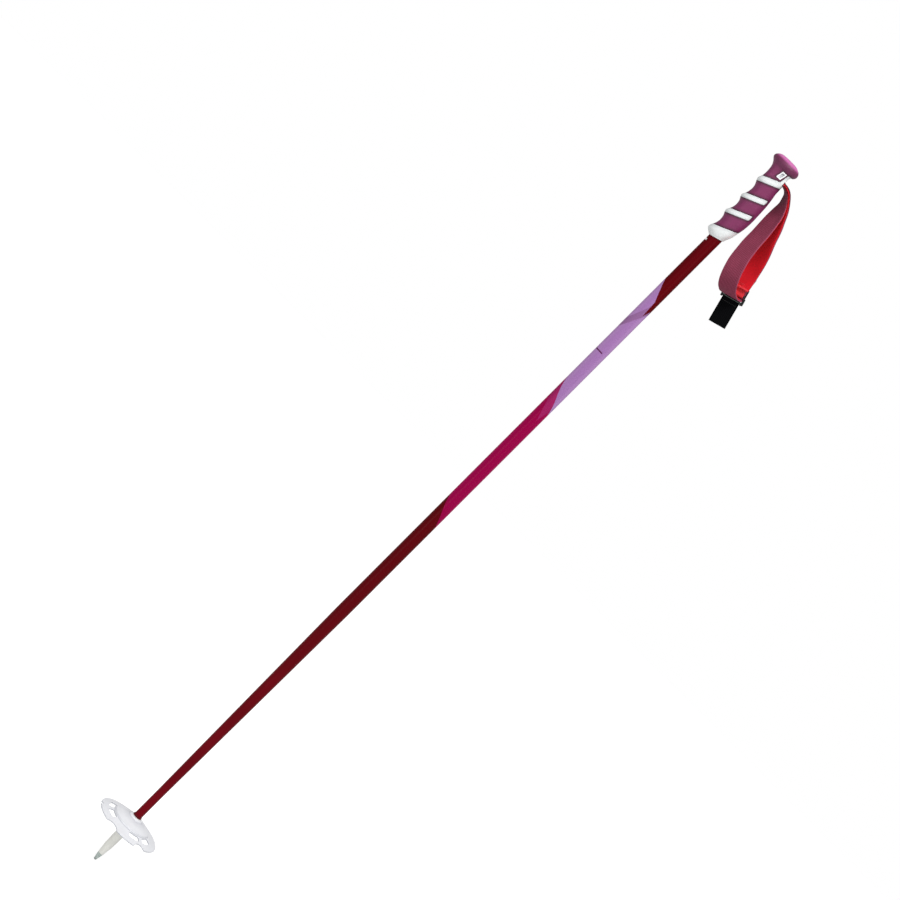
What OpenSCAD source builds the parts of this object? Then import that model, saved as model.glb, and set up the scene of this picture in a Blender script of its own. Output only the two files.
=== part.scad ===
/* [Shaft] */
// Height of the whole pole, tip to top of the grip
pole_length = 1150; // [1050:50:1350]
// Outer diameter of the straight upper tube
tube_d = 16; // [15.5:0.5:16]
// Outer diameter of the straight lower end
foot_d = 10; // [9:0.1:10]
// Wall thickness of the tube
tube_wall = 1.1; // [0.8:0.1:1.4]
// Height at which the taper starts
taper_low = 115; // [90:5:140]
// Height at which the taper ends
taper_high = 425; // [380:5:460]

/* [Tip and ferrule] */
// Length of the steel spike that shows
spike_length = 10.9; // [8:0.1:14]
// Diameter of the ferrule where the basket sits
ferrule_seat_d = 11.6; // [11.4:0.1:12]
// Height of the ferrule's top edge
ferrule_top = 74.4; // [72:0.1:78]

/* [Basket] */
// Outer diameter of the basket
basket_d = 86; // [80:1:95]
// Height of the basket's rim above the tip
rim_height = 59.2; // [57:0.1:61]
// Thickness of the basket's sheet
basket_sheet = 1.8; // [1.4:0.1:2.2]
// Number of window pairs round the basket
window_pairs = 3; // [2:1:3]

/* [Grip] */
// Half the width of the handle, side to side
handle_half = 13.2; // [12.6:0.1:13.6]
// Thickness of the soft overmould
soft_wall = 2.2; // [1.8:0.1:2.4]
// Rise of the slanted bands per millimetre towards the rear
band_slope = 0.42; // [0.38:0.01:0.44]

/* [Strap] */
// Width of the strap webbing in the loop
webbing_w = 23.6; // [21:0.2:23.6]
// Thickness of the webbing
webbing_t = 1.4; // [1.2:0.1:1.5]
// Thickness of the lining
lining_t = 1.2; // [1:0.1:1.2]
// Width of the pull tab
tab_w = 19.6; // [17:0.2:20]
// Length of the pull tab below the slider's bar
tab_length = 33; // [26:1:36]

/* [Hidden] */
$fn = 96;

// clearances: between touching pieces, and of a piece that turns
touch = 0.05;
run = 0.06;

// the shaft runs from inside the ferrule to inside the grip
shaft_low = 40;
shaft_high = 1118;
grip_seat_d = tube_d - 0.8;

// the grip and the strap are drawn for a pole of this length, then lifted to the length asked for
drawn_length = 1150;

// heights along the grip's middle line where one surface hands over to the next
collar_low = 1031.7;
collar_high = 1046.4;
band_3 = [1065.3, 1071.7];
band_2 = [1089.4, 1095.8];
band_1 = [1114, 1123.4];
neck_high = 1138;

// half depth of the handle towards the fingers, [height, size]
front_line = [[1031.7, 8.9], [1034, 11], [1036.9, 13.3], [1041, 15.3], [1044.3, 15], [1046.4, 13.7],
              [1049, 12.2], [1054, 11.2], [1058.5, 11.6], [1062.5, 12.8], [1065.3, 14], [1068.5, 14.6],
              [1071.7, 12.6], [1074, 11.3], [1079, 10.5], [1083.5, 11.1], [1087, 12.3], [1089.4, 13.5],
              [1092.5, 14.2], [1095.8, 12.2], [1098.5, 11.1], [1104, 10.5], [1108.5, 11.2], [1112, 12.5],
              [1114, 13.4], [1118.5, 14.6], [1123.4, 12.6], [1127, 12.2], [1131, 12.5], [1134, 13.4],
              [1137, 15.5], [1139, 17.3], [1140.6, 18.7], [1142, 19.3], [1143.4, 19.4], [1145.4, 18.4],
              [1147.4, 16.5], [1148.8, 14], [1149.6, 11], [1150, 6]];
// half depth of the handle towards the palm
rear_line = [[1031.7, 8.9], [1034.7, 10.2], [1039.7, 12.9], [1046.4, 14.5], [1049.5, 15.3], [1057.4, 16.4],
             [1065.6, 16.7], [1074, 16.4], [1088, 15.7], [1099.7, 14.3], [1107.3, 13.1], [1114, 12.8],
             [1123.4, 11.9], [1131, 11.3], [1136, 12.2], [1137.6, 14.6], [1139, 15.8], [1141.4, 16.7],
             [1143.8, 16.4], [1146.5, 14.7], [1148.6, 11], [1149.6, 8], [1150, 4.5]];
// half width of the handle, as a share of handle_half
side_line = [[1031.7, 0.69], [1036, 0.86], [1041, 0.96], [1046.4, 1], [1070, 1.01], [1100, 0.98],
             [1123.4, 0.97], [1131, 0.97], [1136, 1.05], [1139, 1.18], [1142.4, 1.26], [1145.4, 1.18],
             [1147.6, 1.03], [1149.2, 0.8], [1150, 0.4]];
// how far the sections lean back, as a share of band_slope
lean_line = [[1031.7, 0.62], [1046.4, 1], [1123.4, 1], [1138, 0]];
// squareness of the sections: 1 is an ellipse, less is squarer
square_line = [[1060, 0.92], [1112, 0.85], [1122, 0.55], [1133, 0.58], [1141, 0.95]];
ring_points = 48;

// window in the cap, its middle and lean, and the white spine behind it
window_mid = [2.8, 1131.4];
window_size = [6.2, 9.2];
window_lean = 12.5;
spine_edge = 7.4;

// strap slot and the anchor pin that the strap goes round
slot_w = 18.8;
slot_z = [1123.3, 1130.9];
pin_at = [2.4, 1129.6];
pin_r = 2.4;
cavity_x = [-4.5, 9.2];
cavity_z = [1121.6, 1137];
neck_w = 18;
strap_stack = 2 * (webbing_t + lining_t);

// hinge of the strap, just outside the slot
hinge_at = [15.1, 0, 1125.8];

// routes of the strap's two legs: x, y, z, turn, tilt and width of the ribbon
neck_2 = 20.5;
neck_3 = 22.4;
near_leg = [[15.1, 0, 1124.6, 0, 0, neck_w], [20.2, -0.2, 1118.9, 10, 0, neck_2],
            [25.7, -0.6, 1111.4, 19, 0, neck_3], [30, -1.4, 1102.4, 28, 0, webbing_w],
            [32.5, -3.2, 1088.6, 37, 0, webbing_w], [33.5, -6.3, 1070.6, 44, 2, webbing_w],
            [34.3, -10.7, 1053.2, 50, 5, webbing_w], [37, -15, 1034.5, 58, 9, webbing_w],
            [42, -17, 1017, 66, 12, webbing_w], [48.7, -10.5, 1004.3, 73, 14, webbing_w],
            [55.5, 2, 999, 80, 15, webbing_w], [59.8, 12, 998.7, 88, 15, webbing_w],
            [60.6, 18.5, 999.4, 90, 15, webbing_w], [60.4, 22.6, 1001.7, 90, 15, webbing_w],
            [59.1, 23.8, 1007.3, 90, 14, webbing_w], [57.1, 24.2, 1016.3, 82, 10, webbing_w],
            [55.9, 24.4, 1028.3, 74, 6, webbing_w]];
near_lined = 11;
far_leg = [[15.1, 0, 1127, 0, 0, neck_w], [20.8, 0.1, 1124.5, 7, 0, neck_2],
           [28.3, 0.5, 1115.9, 16, 0, neck_3], [34.9, 1.3, 1103, 27, 0, webbing_w],
           [40.4, 3.2, 1089.2, 36, 0, webbing_w], [46.1, 6.3, 1071.2, 45, 2, webbing_w],
           [51.6, 10.2, 1053.2, 55, 5, webbing_w], [55, 12.9, 1035, 69, 9, webbing_w],
           [56.5, 13.7, 1022.3, 82, 13, webbing_w], [57.47, 13.8, 1013.26, 90, 15, webbing_w]];

// the slider: a flat ring with a middle bar, turned in the plane it hangs in
slider_mid = [59.57, 18.5, 1002.96];
slider_turn = -15;
slider_size = [27.4, 19.6];
slider_bar = 1.25;
slider_rail = 1.6;
slider_deep = 2.6;
slider_pitch = 8.5;
loop_t = 1.5;
loop_w = 20;
tab_t = 1.2;
tab_gap = 0.08;

spindle_r = 2.2;
basket_bore_r = ferrule_seat_d / 2 + run;

// ---- plain helpers ----

// a closed skin over a stack of rings of points; the diagonals of side number turned run the other way
module skin(rings, turned = -1) {
    n = len(rings[0]);
    last = len(rings) - 1;
    points = [for (r = rings) each r];
    sides = [for (j = [0:last - 1], i = [0:n - 1])
             let (a = j * n + i, b = j * n + (i + 1) % n)
             each (i == turned ? [[a, a + n, b], [b, a + n, b + n]] : [[a, b + n, b], [a, a + n, b + n]])];
    polyhedron(points, concat([[for (i = [0:n - 1]) i]], sides,
                              [[for (i = [n - 1:-1:0]) last * n + i]]), convexity = 6);
}

function signed_power(v, p) = sign(v) * pow(abs(v), p);
function lean(h) = band_slope * lookup(h, lean_line);
function unit(v) = v / norm(v);

// point on a smooth curve through a list of equally long rows, at t counted in rows
function along(rows, t) =
    let (last = len(rows) - 1, i = min(floor(t), last - 1), u = t - i,
         a = rows[max(i - 1, 0)], b = rows[i], c = rows[i + 1], d = rows[min(i + 2, last)])
    0.5 * (2 * b + (c - a) * u + (2 * a - 5 * b + 4 * c - d) * u * u + (3 * b - a - 3 * c + d) * u * u * u);

// carries a piece of the grip or strap up to the length asked for
module lifted() {
    translate([0, 0, pole_length - drawn_length]) children();
}

// ---- shaft and foot ----

module shaft() {
    lift = pole_length - drawn_length;
    high = shaft_high + lift;
    grip_end = collar_low - half_front(collar_low) * lean(collar_low) - 0.5 + lift;
    outer = [[foot_d / 2, shaft_low], [foot_d / 2, taper_low], [tube_d / 2, taper_high],
             [tube_d / 2, grip_end], [grip_seat_d / 2, grip_end], [grip_seat_d / 2, high]];
    inner = [[grip_seat_d / 2 - tube_wall, high], [tube_d / 2 - tube_wall, taper_high],
             [foot_d / 2 - tube_wall, taper_low], [foot_d / 2 - tube_wall, shaft_low]];
    color("firebrick") rotate_extrude() polygon(concat(outer, inner));
}

module stop_ring() {
    height = 2.4;
    color("maroon") translate([0, 0, ferrule_top + touch]) rotate_extrude()
        polygon([[foot_d / 2 + touch, 0], [foot_d / 2 + 1.35, 0], [foot_d / 2 + 1.5, 0.4],
                 [foot_d / 2 + 1.3, 1.4], [foot_d / 2 + 0.5, height], [foot_d / 2 + touch, height]]);
}

module ferrule() {
    seat_r = ferrule_seat_d / 2;
    shoulder = rim_height - 1.2;
    outline = [[3.65, spike_length], [4.45, 17.4], [5.3, 23], [5.7, 33], [5.95, 44], [6.1, 55],
               [6.1, shoulder - 2.4], [seat_r + 0.7, shoulder - 1.2], [seat_r + 0.7, shoulder],
               [seat_r, shoulder], [seat_r, ferrule_top]];
    socket = [[foot_d / 2 + touch, ferrule_top], [foot_d / 2 + touch, shaft_low - touch]];
    hole = [[spindle_r + touch, shaft_low - touch], [spindle_r + touch, spike_length]];
    color("lightgray") rotate_extrude() polygon(concat(outline, socket, hole));
}

module tip_spike() {
    nose = 2;
    outline = [[2.2, 2.6], [3, 6.9], [2.8, 7.2], [2.8, 7.7], [3.2, 8],
               [3.6, spike_length - touch], [spindle_r, spike_length - touch], [spindle_r, 34], [0, 34]];
    color("silver") rotate_extrude()
        polygon(concat([[0, 0]], [for (a = [-75:15:-15]) [nose * cos(a), nose + nose * sin(a)]], outline));
}

// ---- basket ----

// a flat sector of a ring, from radius a to radius b, half as wide as half_angle each way
module ring_sector(a, b, half_angle) {
    steps = 8;
    corner = 2;
    outside = [for (i = [-steps:steps]) let (t = half_angle * i / steps - (corner / b) * 57 * i / steps)
               b * [cos(t), sin(t)]];
    inside = [for (i = [steps:-1:-steps]) let (t = half_angle * i / steps - (corner / a) * 57 * i / steps)
              a * [cos(t), sin(t)]];
    flank = [(a + corner) * [cos(half_angle), sin(half_angle)], (b - corner) * [cos(half_angle), sin(half_angle)]];
    other = [(b - corner) * [cos(half_angle), -sin(half_angle)], (a + corner) * [cos(half_angle), -sin(half_angle)]];
    polygon(concat(outside, [flank[1], flank[0]], inside, [other[1], other[0]]));
}

module basket() {
    rim_r = basket_d / 2;
    step_r = 25.7;
    step_z = rim_height + 7.3;
    hub_z = rim_height + 12.2;
    top_z = ferrule_top - 0.3;
    under = basket_sheet;
    pair_turn = 78;
    window_turn = 20;
    color("whitesmoke") difference() {
        rotate_extrude() polygon([
            [basket_bore_r, top_z], [7.4, top_z], [7.9, top_z - 0.7], [10.2, hub_z], [step_r - 0.5, step_z + 0.1],
            [step_r, step_z - 0.5], [step_r + 0.5, step_z - 1.9], [rim_r - 1.2, rim_height + 0.7],
            [rim_r - 0.2, rim_height + 0.5], [rim_r, rim_height], [rim_r - 0.3, rim_height - 0.8],
            [rim_r - 1.3, rim_height - 1], [step_r + 0.5, step_z - 1.9 - under],
            [step_r - 1.4, step_z - 0.4 - under], [12, hub_z - 0.6 - under], [9.4, rim_height + 2.4],
            [9, rim_height - 0.8], [basket_bore_r, rim_height - 0.8]]);
        for (k = [0:window_pairs - 1], side = [-1, 1])
            rotate(pair_turn + k * 360 / window_pairs + side * window_turn)
                translate([0, 0, rim_height - 5]) linear_extrude(20) ring_sector(26.5, 33.4, 14.5);
        // two broad scallops and two small nicks in the rim: turn, centre distance, radius
        for (cut = [[250, rim_r + 7.5, 12.5], [311, rim_r + 3.8, 9.8], [193, rim_r + 0.2, 3], [24.6, rim_r + 1, 2.4]])
            rotate(cut[0]) translate([cut[1], 0, rim_height - 5]) cylinder(r = cut[2], h = 20);
    }
}

// ---- grip ----

function half_front(h) = lookup(h, front_line);
function half_rear(h) = lookup(h, rear_line);
function half_side(h) = handle_half * lookup(h, side_line);

// the handle's section at height h, drawn inwards by inset
function grip_ring(h, inset) = [for (i = [0:ring_points - 1])
    let (t = 360 * i / ring_points, p = lookup(h, square_line),
         depth = (cos(t) < 0 ? half_front(h) : half_rear(h)) - inset,
         x = depth * signed_power(cos(t), p), y = (half_side(h) - inset) * signed_power(sin(t), p))
    [x, y, h + x * lean(h)]];

// the heights of all the sections between two ends
function grip_heights(low, high) =
    concat([low], [for (row = front_line) if (row[0] > low + 0.3 && row[0] < high - 0.3) row[0]], [high]);

module grip_body(low, high, inset = 0) {
    skin([for (h = grip_heights(low, high)) grip_ring(h, inset)]);
}

// a leaning slab that holds everything between two heights and in front of x = reach
module band_slab(band, reach, spare = 0) {
    span = 30;
    skin([for (h = [band[0] - spare, band[1] + spare])
          [for (c = [[-span, -span], [reach + spare, -span], [reach + spare, span], [-span, span]])
           [c[0], c[1], h + c[0] * band_slope]]]);
}

module bands(spare = 0) {
    reach = 12.6;
    band_slab(band_2, reach, spare);
    band_slab(band_3, reach, spare);
}

// the leaning window outline, in the plane of the handle's side
module window_outline(spare = 0) {
    lean_x = window_size[1] / 2 * tan(window_lean);
    w = window_size[0] / 2 + spare;
    h = window_size[1] / 2 + spare;
    translate(window_mid) polygon([[-w - lean_x, -h], [w - lean_x, -h], [w + lean_x, h], [-w + lean_x, h]]);
}

// stands an outline drawn in x and z upright, deep on both sides of the middle
module upright(deep) {
    rotate([90, 0, 0]) linear_extrude(deep, center = true) children();
}

// everything behind the line where the soft cap gives way to the white spine
module spine_zone(spare = 0) {
    upright(60) polygon([[spine_edge - 2.4 - spare, band_1[1] - 8], [spine_edge + 1.4 - spare, neck_high - 1.2],
                         [40, neck_high - 1.2], [40, band_1[1] - 8]]);
}

// the hollow round the anchor pin and the slot that leads out of it
module strap_hollow() {
    translate([cavity_x[0], -slot_w / 2, cavity_z[0]])
        cube([cavity_x[1] - cavity_x[0], slot_w, cavity_z[1] - cavity_z[0]]);
    translate([0, -slot_w / 2, slot_z[0]]) cube([30, slot_w, slot_z[1] - slot_z[0]]);
}

module grip_core() {
    neck_inset = soft_wall;
    color("white") difference() {
        union() {
            grip_body(collar_low, collar_high - touch);
            grip_body(collar_high - 1, band_1[0] + 1, soft_wall + touch);
            intersection() {
                grip_body(collar_high, band_1[0]);
                bands();
            }
            grip_body(band_1[0] + touch, band_1[1] - touch);
            grip_body(band_1[1] - 1, neck_high - 2, neck_inset + touch);
            intersection() {
                grip_body(band_1[1] - 1, 1136);
                spine_zone(-touch);
            }
        }
        translate([0, 0, collar_low - 10]) cylinder(r = grip_seat_d / 2 + touch, h = shaft_high + touch - collar_low + 10);
        strap_hollow();
        upright(60) window_outline(touch);
    }
}

module grip_sleeve() {
    color("mediumvioletred") difference() {
        grip_body(collar_high, band_1[0]);
        grip_body(collar_high - 2, band_1[0] + 2, soft_wall);
        bands(touch);
    }
}

module grip_cap() {
    color("mediumvioletred") difference() {
        grip_body(band_1[1], drawn_length);
        grip_body(band_1[1] - 2, neck_high - 1.9, soft_wall);
        spine_zone();
        strap_hollow();
        upright(60) window_outline();
    }
}

// ---- strap anchor ----

module strap_anchor() {
    head = 1.9;
    reach = 12.4;
    recess = [2, 5.2];
    color("white") {
        translate([pin_at[0], 0, pin_at[1]]) rotate([90, 0, 0]) cylinder(r = pin_r, h = 2 * reach - head, center = true);
        for (side = [-1, 1]) difference() {
            translate([0, side * (reach - head / 2), 0]) upright(head) window_outline(-touch);
            translate([0, side * reach, 0]) upright(1) translate(window_mid)
                multmatrix([[1, tan(window_lean), 0, 0], [0, 1, 0, 0], [0, 0, 1, 0]]) square(recess, center = true);
        }
    }
}

// the strap's doubled end: round the pin and out to the slot
module strap_root() {
    mouth = [11.6, 1126.2];
    color("palevioletred") upright(neck_w) difference() {
        hull() {
            translate(pin_at) circle(r = pin_r + touch + webbing_t + lining_t, $fn = 64);
            translate(mouth - [0.2, strap_stack / 2]) square([0.4, strap_stack]);
        }
        hull() {
            translate(pin_at) circle(r = pin_r + touch, $fn = 64);
            translate(mouth - [2.6, 0]) circle(r = 0.15, $fn = 16);
        }
    }
}

// ---- strap loop ----

// section of a strap ribbon at t rows along its leg, between two offsets from its middle
function ribbon_ring(leg, t, low, high, trim) =
    let (row = along(leg, t), step = 0.02, last = len(leg) - 1,
         ahead = along(leg, min(t + step, last)), behind = along(leg, max(t - step, 0)),
         dir = unit([for (k = [0:2]) ahead[k] - behind[k]]),
         flat = [sin(row[3]) * cos(row[4]), -cos(row[3]) * cos(row[4]), sin(row[4])],
         across = unit(flat - dir * (flat * dir)), out = cross(dir, across),
         mid = [row[0], row[1], row[2]], half = row[5] / 2 - trim)
    [mid - half * across + low * out, mid + half * across + low * out,
     mid + half * across + high * out, mid - half * across + high * out];

module ribbon(leg, from, to, low, high, trim = 0) {
    steps = 3;
    skin([for (i = [0:round((to - from) * steps)]) ribbon_ring(leg, from + i / steps, low, high, trim)], 2);
}

module strap_webbing() {
    color("palevioletred") {
        ribbon(near_leg, 0, len(near_leg) - 1, touch, webbing_t);
        ribbon(far_leg, 0, len(far_leg) - 1, -webbing_t, -touch);
        translate(hinge_at) rotate([90, 0, 0]) cylinder(r = strap_stack / 2 - touch, h = neck_w, center = true);
    }
}

module strap_lining() {
    trim = 0.8;
    start = 1 / 3;
    color("red") difference() {
        union() {
            ribbon(near_leg, start, near_lined, -lining_t, -touch, trim);
            ribbon(far_leg, start, len(far_leg) - 1, touch, lining_t, trim);
        }
        translate(hinge_at) rotate([90, 0, 0]) cylinder(r = strap_stack / 2, h = 2 * neck_w, center = true);
    }
}

// places a piece drawn in the slider's own plane: x along the bars, y up the ring, z to the front
module in_slider() {
    translate(slider_mid) rotate([0, slider_turn, 0]) rotate([90, 0, 0]) children();
}

// the narrow end that is sewn to the far leg and folded round the slider's middle bar
module strap_end_loop() {
    fold_r = slider_bar + touch + loop_t;
    lap = 6;
    color("tomato") in_slider() rotate([0, -90, 0])
        linear_extrude(loop_w, center = true) difference() {
            union() {
                circle(r = fold_r);
                translate([fold_r - loop_t, 0]) square([loop_t, slider_pitch + lap]);
            }
            circle(r = slider_bar + touch);
        }
}

module seam_stitches() {
    rows = 2;
    pitch = 2.2;
    count = 8;
    thread = 0.35;
    face = slider_bar + loop_t + 10 * touch + webbing_t + lining_t + 2 * thread;
    color("tomato") in_slider()
        for (row = [0:rows - 1], k = [0:count - 1])
            translate([(k - (count - 1) / 2) * pitch, slider_pitch + 3.4 + row * 1.4, face])
                rotate([0, 90, 0]) cylinder(r = thread, h = pitch * 0.7, center = true, $fn = 16);
}

module slider_frame() {
    color("dimgray") in_slider() {
        for (side = [-1, 1]) translate([side * (slider_size[0] - slider_rail) / 2, 0, 0])
            cube([slider_rail, slider_size[1], slider_deep], center = true);
        for (row = [-1:1]) translate([0, row * slider_pitch, 0]) rotate([0, 90, 0])
            cylinder(r = slider_bar, h = slider_size[0] - slider_rail, center = true);
    }
}

// ---- pull tab ----

module pull_tab() {
    eye_r = slider_bar + tab_gap;
    color("dimgray") in_slider() translate([0, -slider_pitch, 0]) {
        rotate([0, 90, 0]) difference() {
            cylinder(r = eye_r + tab_t, h = tab_w, center = true);
            cylinder(r = eye_r, h = tab_w + 2, center = true);
        }
        translate([0, -(tab_length + eye_r) / 2, 0]) cube([tab_w, tab_length - eye_r, 2 * tab_t], center = true);
    }
}

module tab_stitches() {
    pitch = 2;
    count = 8;
    thread = 0.3;
    color("gray") in_slider()
        for (side = [-1, 1], k = [0:count - 1])
            translate([(k - (count - 1) / 2) * pitch, -slider_pitch - 5, side * (tab_t + touch + thread)])
                rotate([0, 90, 0]) cylinder(r = thread, h = pitch * 0.7, center = true, $fn = 16);
}

shaft();
stop_ring();
ferrule();
tip_spike();
basket();
lifted() grip_core();
lifted() grip_sleeve();
lifted() grip_cap();
lifted() strap_anchor();
lifted() strap_root();
lifted() strap_webbing();
lifted() strap_lining();
lifted() strap_end_loop();
lifted() seam_stitches();
lifted() slider_frame();
lifted() pull_tab();
lifted() tab_stitches();
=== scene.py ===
"""The looks of an alpine ski pole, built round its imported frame.

The shaft, its ring, the ferrule and the steel tip are turned pieces. The basket is a moulded dish
with windows. The grip is a hard white body under a soft purple overmould, and the wrist strap is
ribbed webbing with a red lining, a three-bar slider and a black pull tab.
"""

import math

import bmesh
import bpy
import numpy as np
from mathutils import Matrix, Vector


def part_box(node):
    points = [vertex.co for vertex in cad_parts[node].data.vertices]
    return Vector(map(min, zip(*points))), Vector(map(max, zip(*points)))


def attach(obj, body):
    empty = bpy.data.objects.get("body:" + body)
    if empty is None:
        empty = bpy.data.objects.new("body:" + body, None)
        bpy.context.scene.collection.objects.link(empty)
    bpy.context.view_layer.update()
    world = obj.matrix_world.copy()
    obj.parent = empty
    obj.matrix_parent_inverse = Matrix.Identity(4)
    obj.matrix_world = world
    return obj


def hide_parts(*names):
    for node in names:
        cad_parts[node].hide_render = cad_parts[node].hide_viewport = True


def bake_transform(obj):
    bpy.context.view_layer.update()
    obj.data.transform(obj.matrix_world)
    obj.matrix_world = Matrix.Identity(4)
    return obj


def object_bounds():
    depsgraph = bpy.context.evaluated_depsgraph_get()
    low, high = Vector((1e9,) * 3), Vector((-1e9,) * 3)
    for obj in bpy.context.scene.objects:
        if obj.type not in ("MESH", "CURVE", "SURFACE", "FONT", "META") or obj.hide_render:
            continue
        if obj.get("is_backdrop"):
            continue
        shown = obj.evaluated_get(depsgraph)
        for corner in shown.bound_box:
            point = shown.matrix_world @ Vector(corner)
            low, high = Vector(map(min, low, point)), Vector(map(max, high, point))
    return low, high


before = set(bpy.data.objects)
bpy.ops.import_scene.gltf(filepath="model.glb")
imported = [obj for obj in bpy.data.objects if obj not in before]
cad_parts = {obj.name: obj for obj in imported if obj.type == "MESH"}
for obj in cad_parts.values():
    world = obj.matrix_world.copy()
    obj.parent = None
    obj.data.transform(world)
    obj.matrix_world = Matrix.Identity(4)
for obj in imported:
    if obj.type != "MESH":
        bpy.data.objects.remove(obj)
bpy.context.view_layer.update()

MM = 0.001
SMOOTH_ANGLE = math.radians(38)


# ---- colours and shaders ----


def ink(red, green, blue):
    """An sRGB colour, each part 0 to 255, as the linear colour that a shader takes."""
    parts = [c / 255 for c in (red, green, blue)]
    return tuple(c / 12.92 if c < 0.0405 else ((c + 0.055) / 1.055) ** 2.4 for c in parts) + (1.0,)


class Wire:
    """An output socket in a node tree. Arithmetic on it adds Math nodes."""

    def __init__(self, nodes, socket):
        self.nodes, self.socket = nodes, socket

    def math(self, operation, other=None, swap=False):
        values = [other, self] if swap else [self, other]
        used = {i: v for i, v in enumerate(values) if v is not None}
        return self.nodes.node("ShaderNodeMath", {"operation": operation}, used)

    def __add__(self, other):
        return self.math("ADD", other)

    def __sub__(self, other):
        return self.math("SUBTRACT", other)

    def __rsub__(self, other):
        return self.math("SUBTRACT", other, swap=True)

    def __mul__(self, other):
        return self.math("MULTIPLY", other)

    def __truediv__(self, other):
        return self.math("DIVIDE", other)

    __radd__, __rmul__ = __add__, __mul__

    def wave(self, pitch):
        """0 to 1 and back over each pitch."""
        return (self * (2 * math.pi / pitch)).math("SINE") * 0.5 + 0.5

    def size(self):
        return self.math("ABSOLUTE")

    def ease(self, low, high):
        """0 below low, 1 above high, and smooth between them."""
        settings = {"interpolation_type": "SMOOTHSTEP"}
        return self.nodes.node("ShaderNodeMapRange", settings, {0: self, 1: low, 2: high})


class Nodes:
    """A node tree, of a material, the world or a mesh, that is filled node by node."""

    def __init__(self, tree):
        self.tree = tree

    def fill(self, socket, value):
        if isinstance(value, Wire):
            self.tree.links.new(value.socket, socket)
        else:
            socket.default_value = value

    def node(self, kind, settings=None, values=None, output=0):
        """A node of that kind, its settings made first, then its sockets' values or links."""
        made = self.tree.nodes.new(kind)
        for key, value in (settings or {}).items():
            setattr(made, key, value)
        for key, value in (values or {}).items():
            self.fill(made.inputs[key], value)
        return Wire(self, made.outputs[output])

    def split(self, vector):
        parts = self.node("ShaderNodeSeparateXYZ", None, {0: vector}).socket.node
        return [Wire(self, o) for o in parts.outputs]

    def rays(self, *kinds):
        """For each kind of ray, whether such a ray has come here."""
        path = self.node("ShaderNodeLightPath").socket.node
        return [Wire(self, path.outputs[f"Is {kind} Ray"]) for kind in kinds]


class Finish(Nodes):
    """A material with one Principled shader."""

    def __init__(self, name, colour, **sockets):
        self.material = bpy.data.materials.new(name)
        self.material.use_nodes = True
        super().__init__(self.material.node_tree)
        self.tree.nodes.clear()
        self.shader = self.tree.nodes.new("ShaderNodeBsdfPrincipled")
        output = self.tree.nodes.new("ShaderNodeOutputMaterial")
        self.tree.links.new(self.shader.outputs[0], output.inputs["Surface"])
        self.put("Base Color", colour)
        for socket, value in sockets.items():
            self.put(socket.replace("_", " ").title().replace("Ior", "IOR"), value)

    def put(self, socket, value):
        self.fill(self.shader.inputs[socket], value)

    def place(self):
        return self.node("ShaderNodeTexCoord", output="Object")

    def cloth_place(self):
        return self.node("ShaderNodeUVMap", {"uv_map": "cloth"})

    def edge(self):
        """How much painted shade each place takes, as the mesh marks it: at edges, seams, recesses and by the
        strap's slot.
        """
        return self.node("ShaderNodeAttribute", {"attribute_name": "edge"}, None, "Fac")

    def axes(self):
        return self.split(self.place())

    def noise(self, scale, detail=2.0, stretch=(1, 1, 1), vector=None, rough=0.5):
        """Noise of a scale, over the piece or over a vector, stretched along each axis."""
        stretched = {0: vector or self.place(), 1: stretch}
        stretched = self.node("ShaderNodeVectorMath", {"operation": "MULTIPLY"}, stretched)
        values = {"Scale": scale, "Detail": detail, "Roughness": rough, "Vector": stretched}
        return self.node("ShaderNodeTexNoise", None, values)

    def mix(self, share, first, second):
        made = self.tree.nodes.new("ShaderNodeMix")
        made.data_type = "RGBA"
        colours = [s for s in made.inputs if s.type == "RGBA"]
        for socket, value in zip([made.inputs["Factor"]] + colours, (share, first, second)):
            self.fill(socket, value)
        return Wire(self, [s for s in made.outputs if s.type == "RGBA"][0])

    def layered(self, colour, *layers):
        """A colour under layers, each with its share and its own colour."""
        for share, paint in layers:
            colour = self.mix(share, colour, paint)
        return colour

    def done(self, colour, roughness, height, rise):
        """The material, with these in it. Height, 0 to 1, lifts the surface by up to rise metres."""
        self.put("Base Color", colour)
        self.put("Roughness", roughness)
        self.put("Normal", self.node("ShaderNodeBump", None, {"Height": height * rise, "Distance": 1.0}))
        return self.material


def shade(colour, by):
    return tuple(c * by for c in colour[:3]) + (1.0,)


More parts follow.
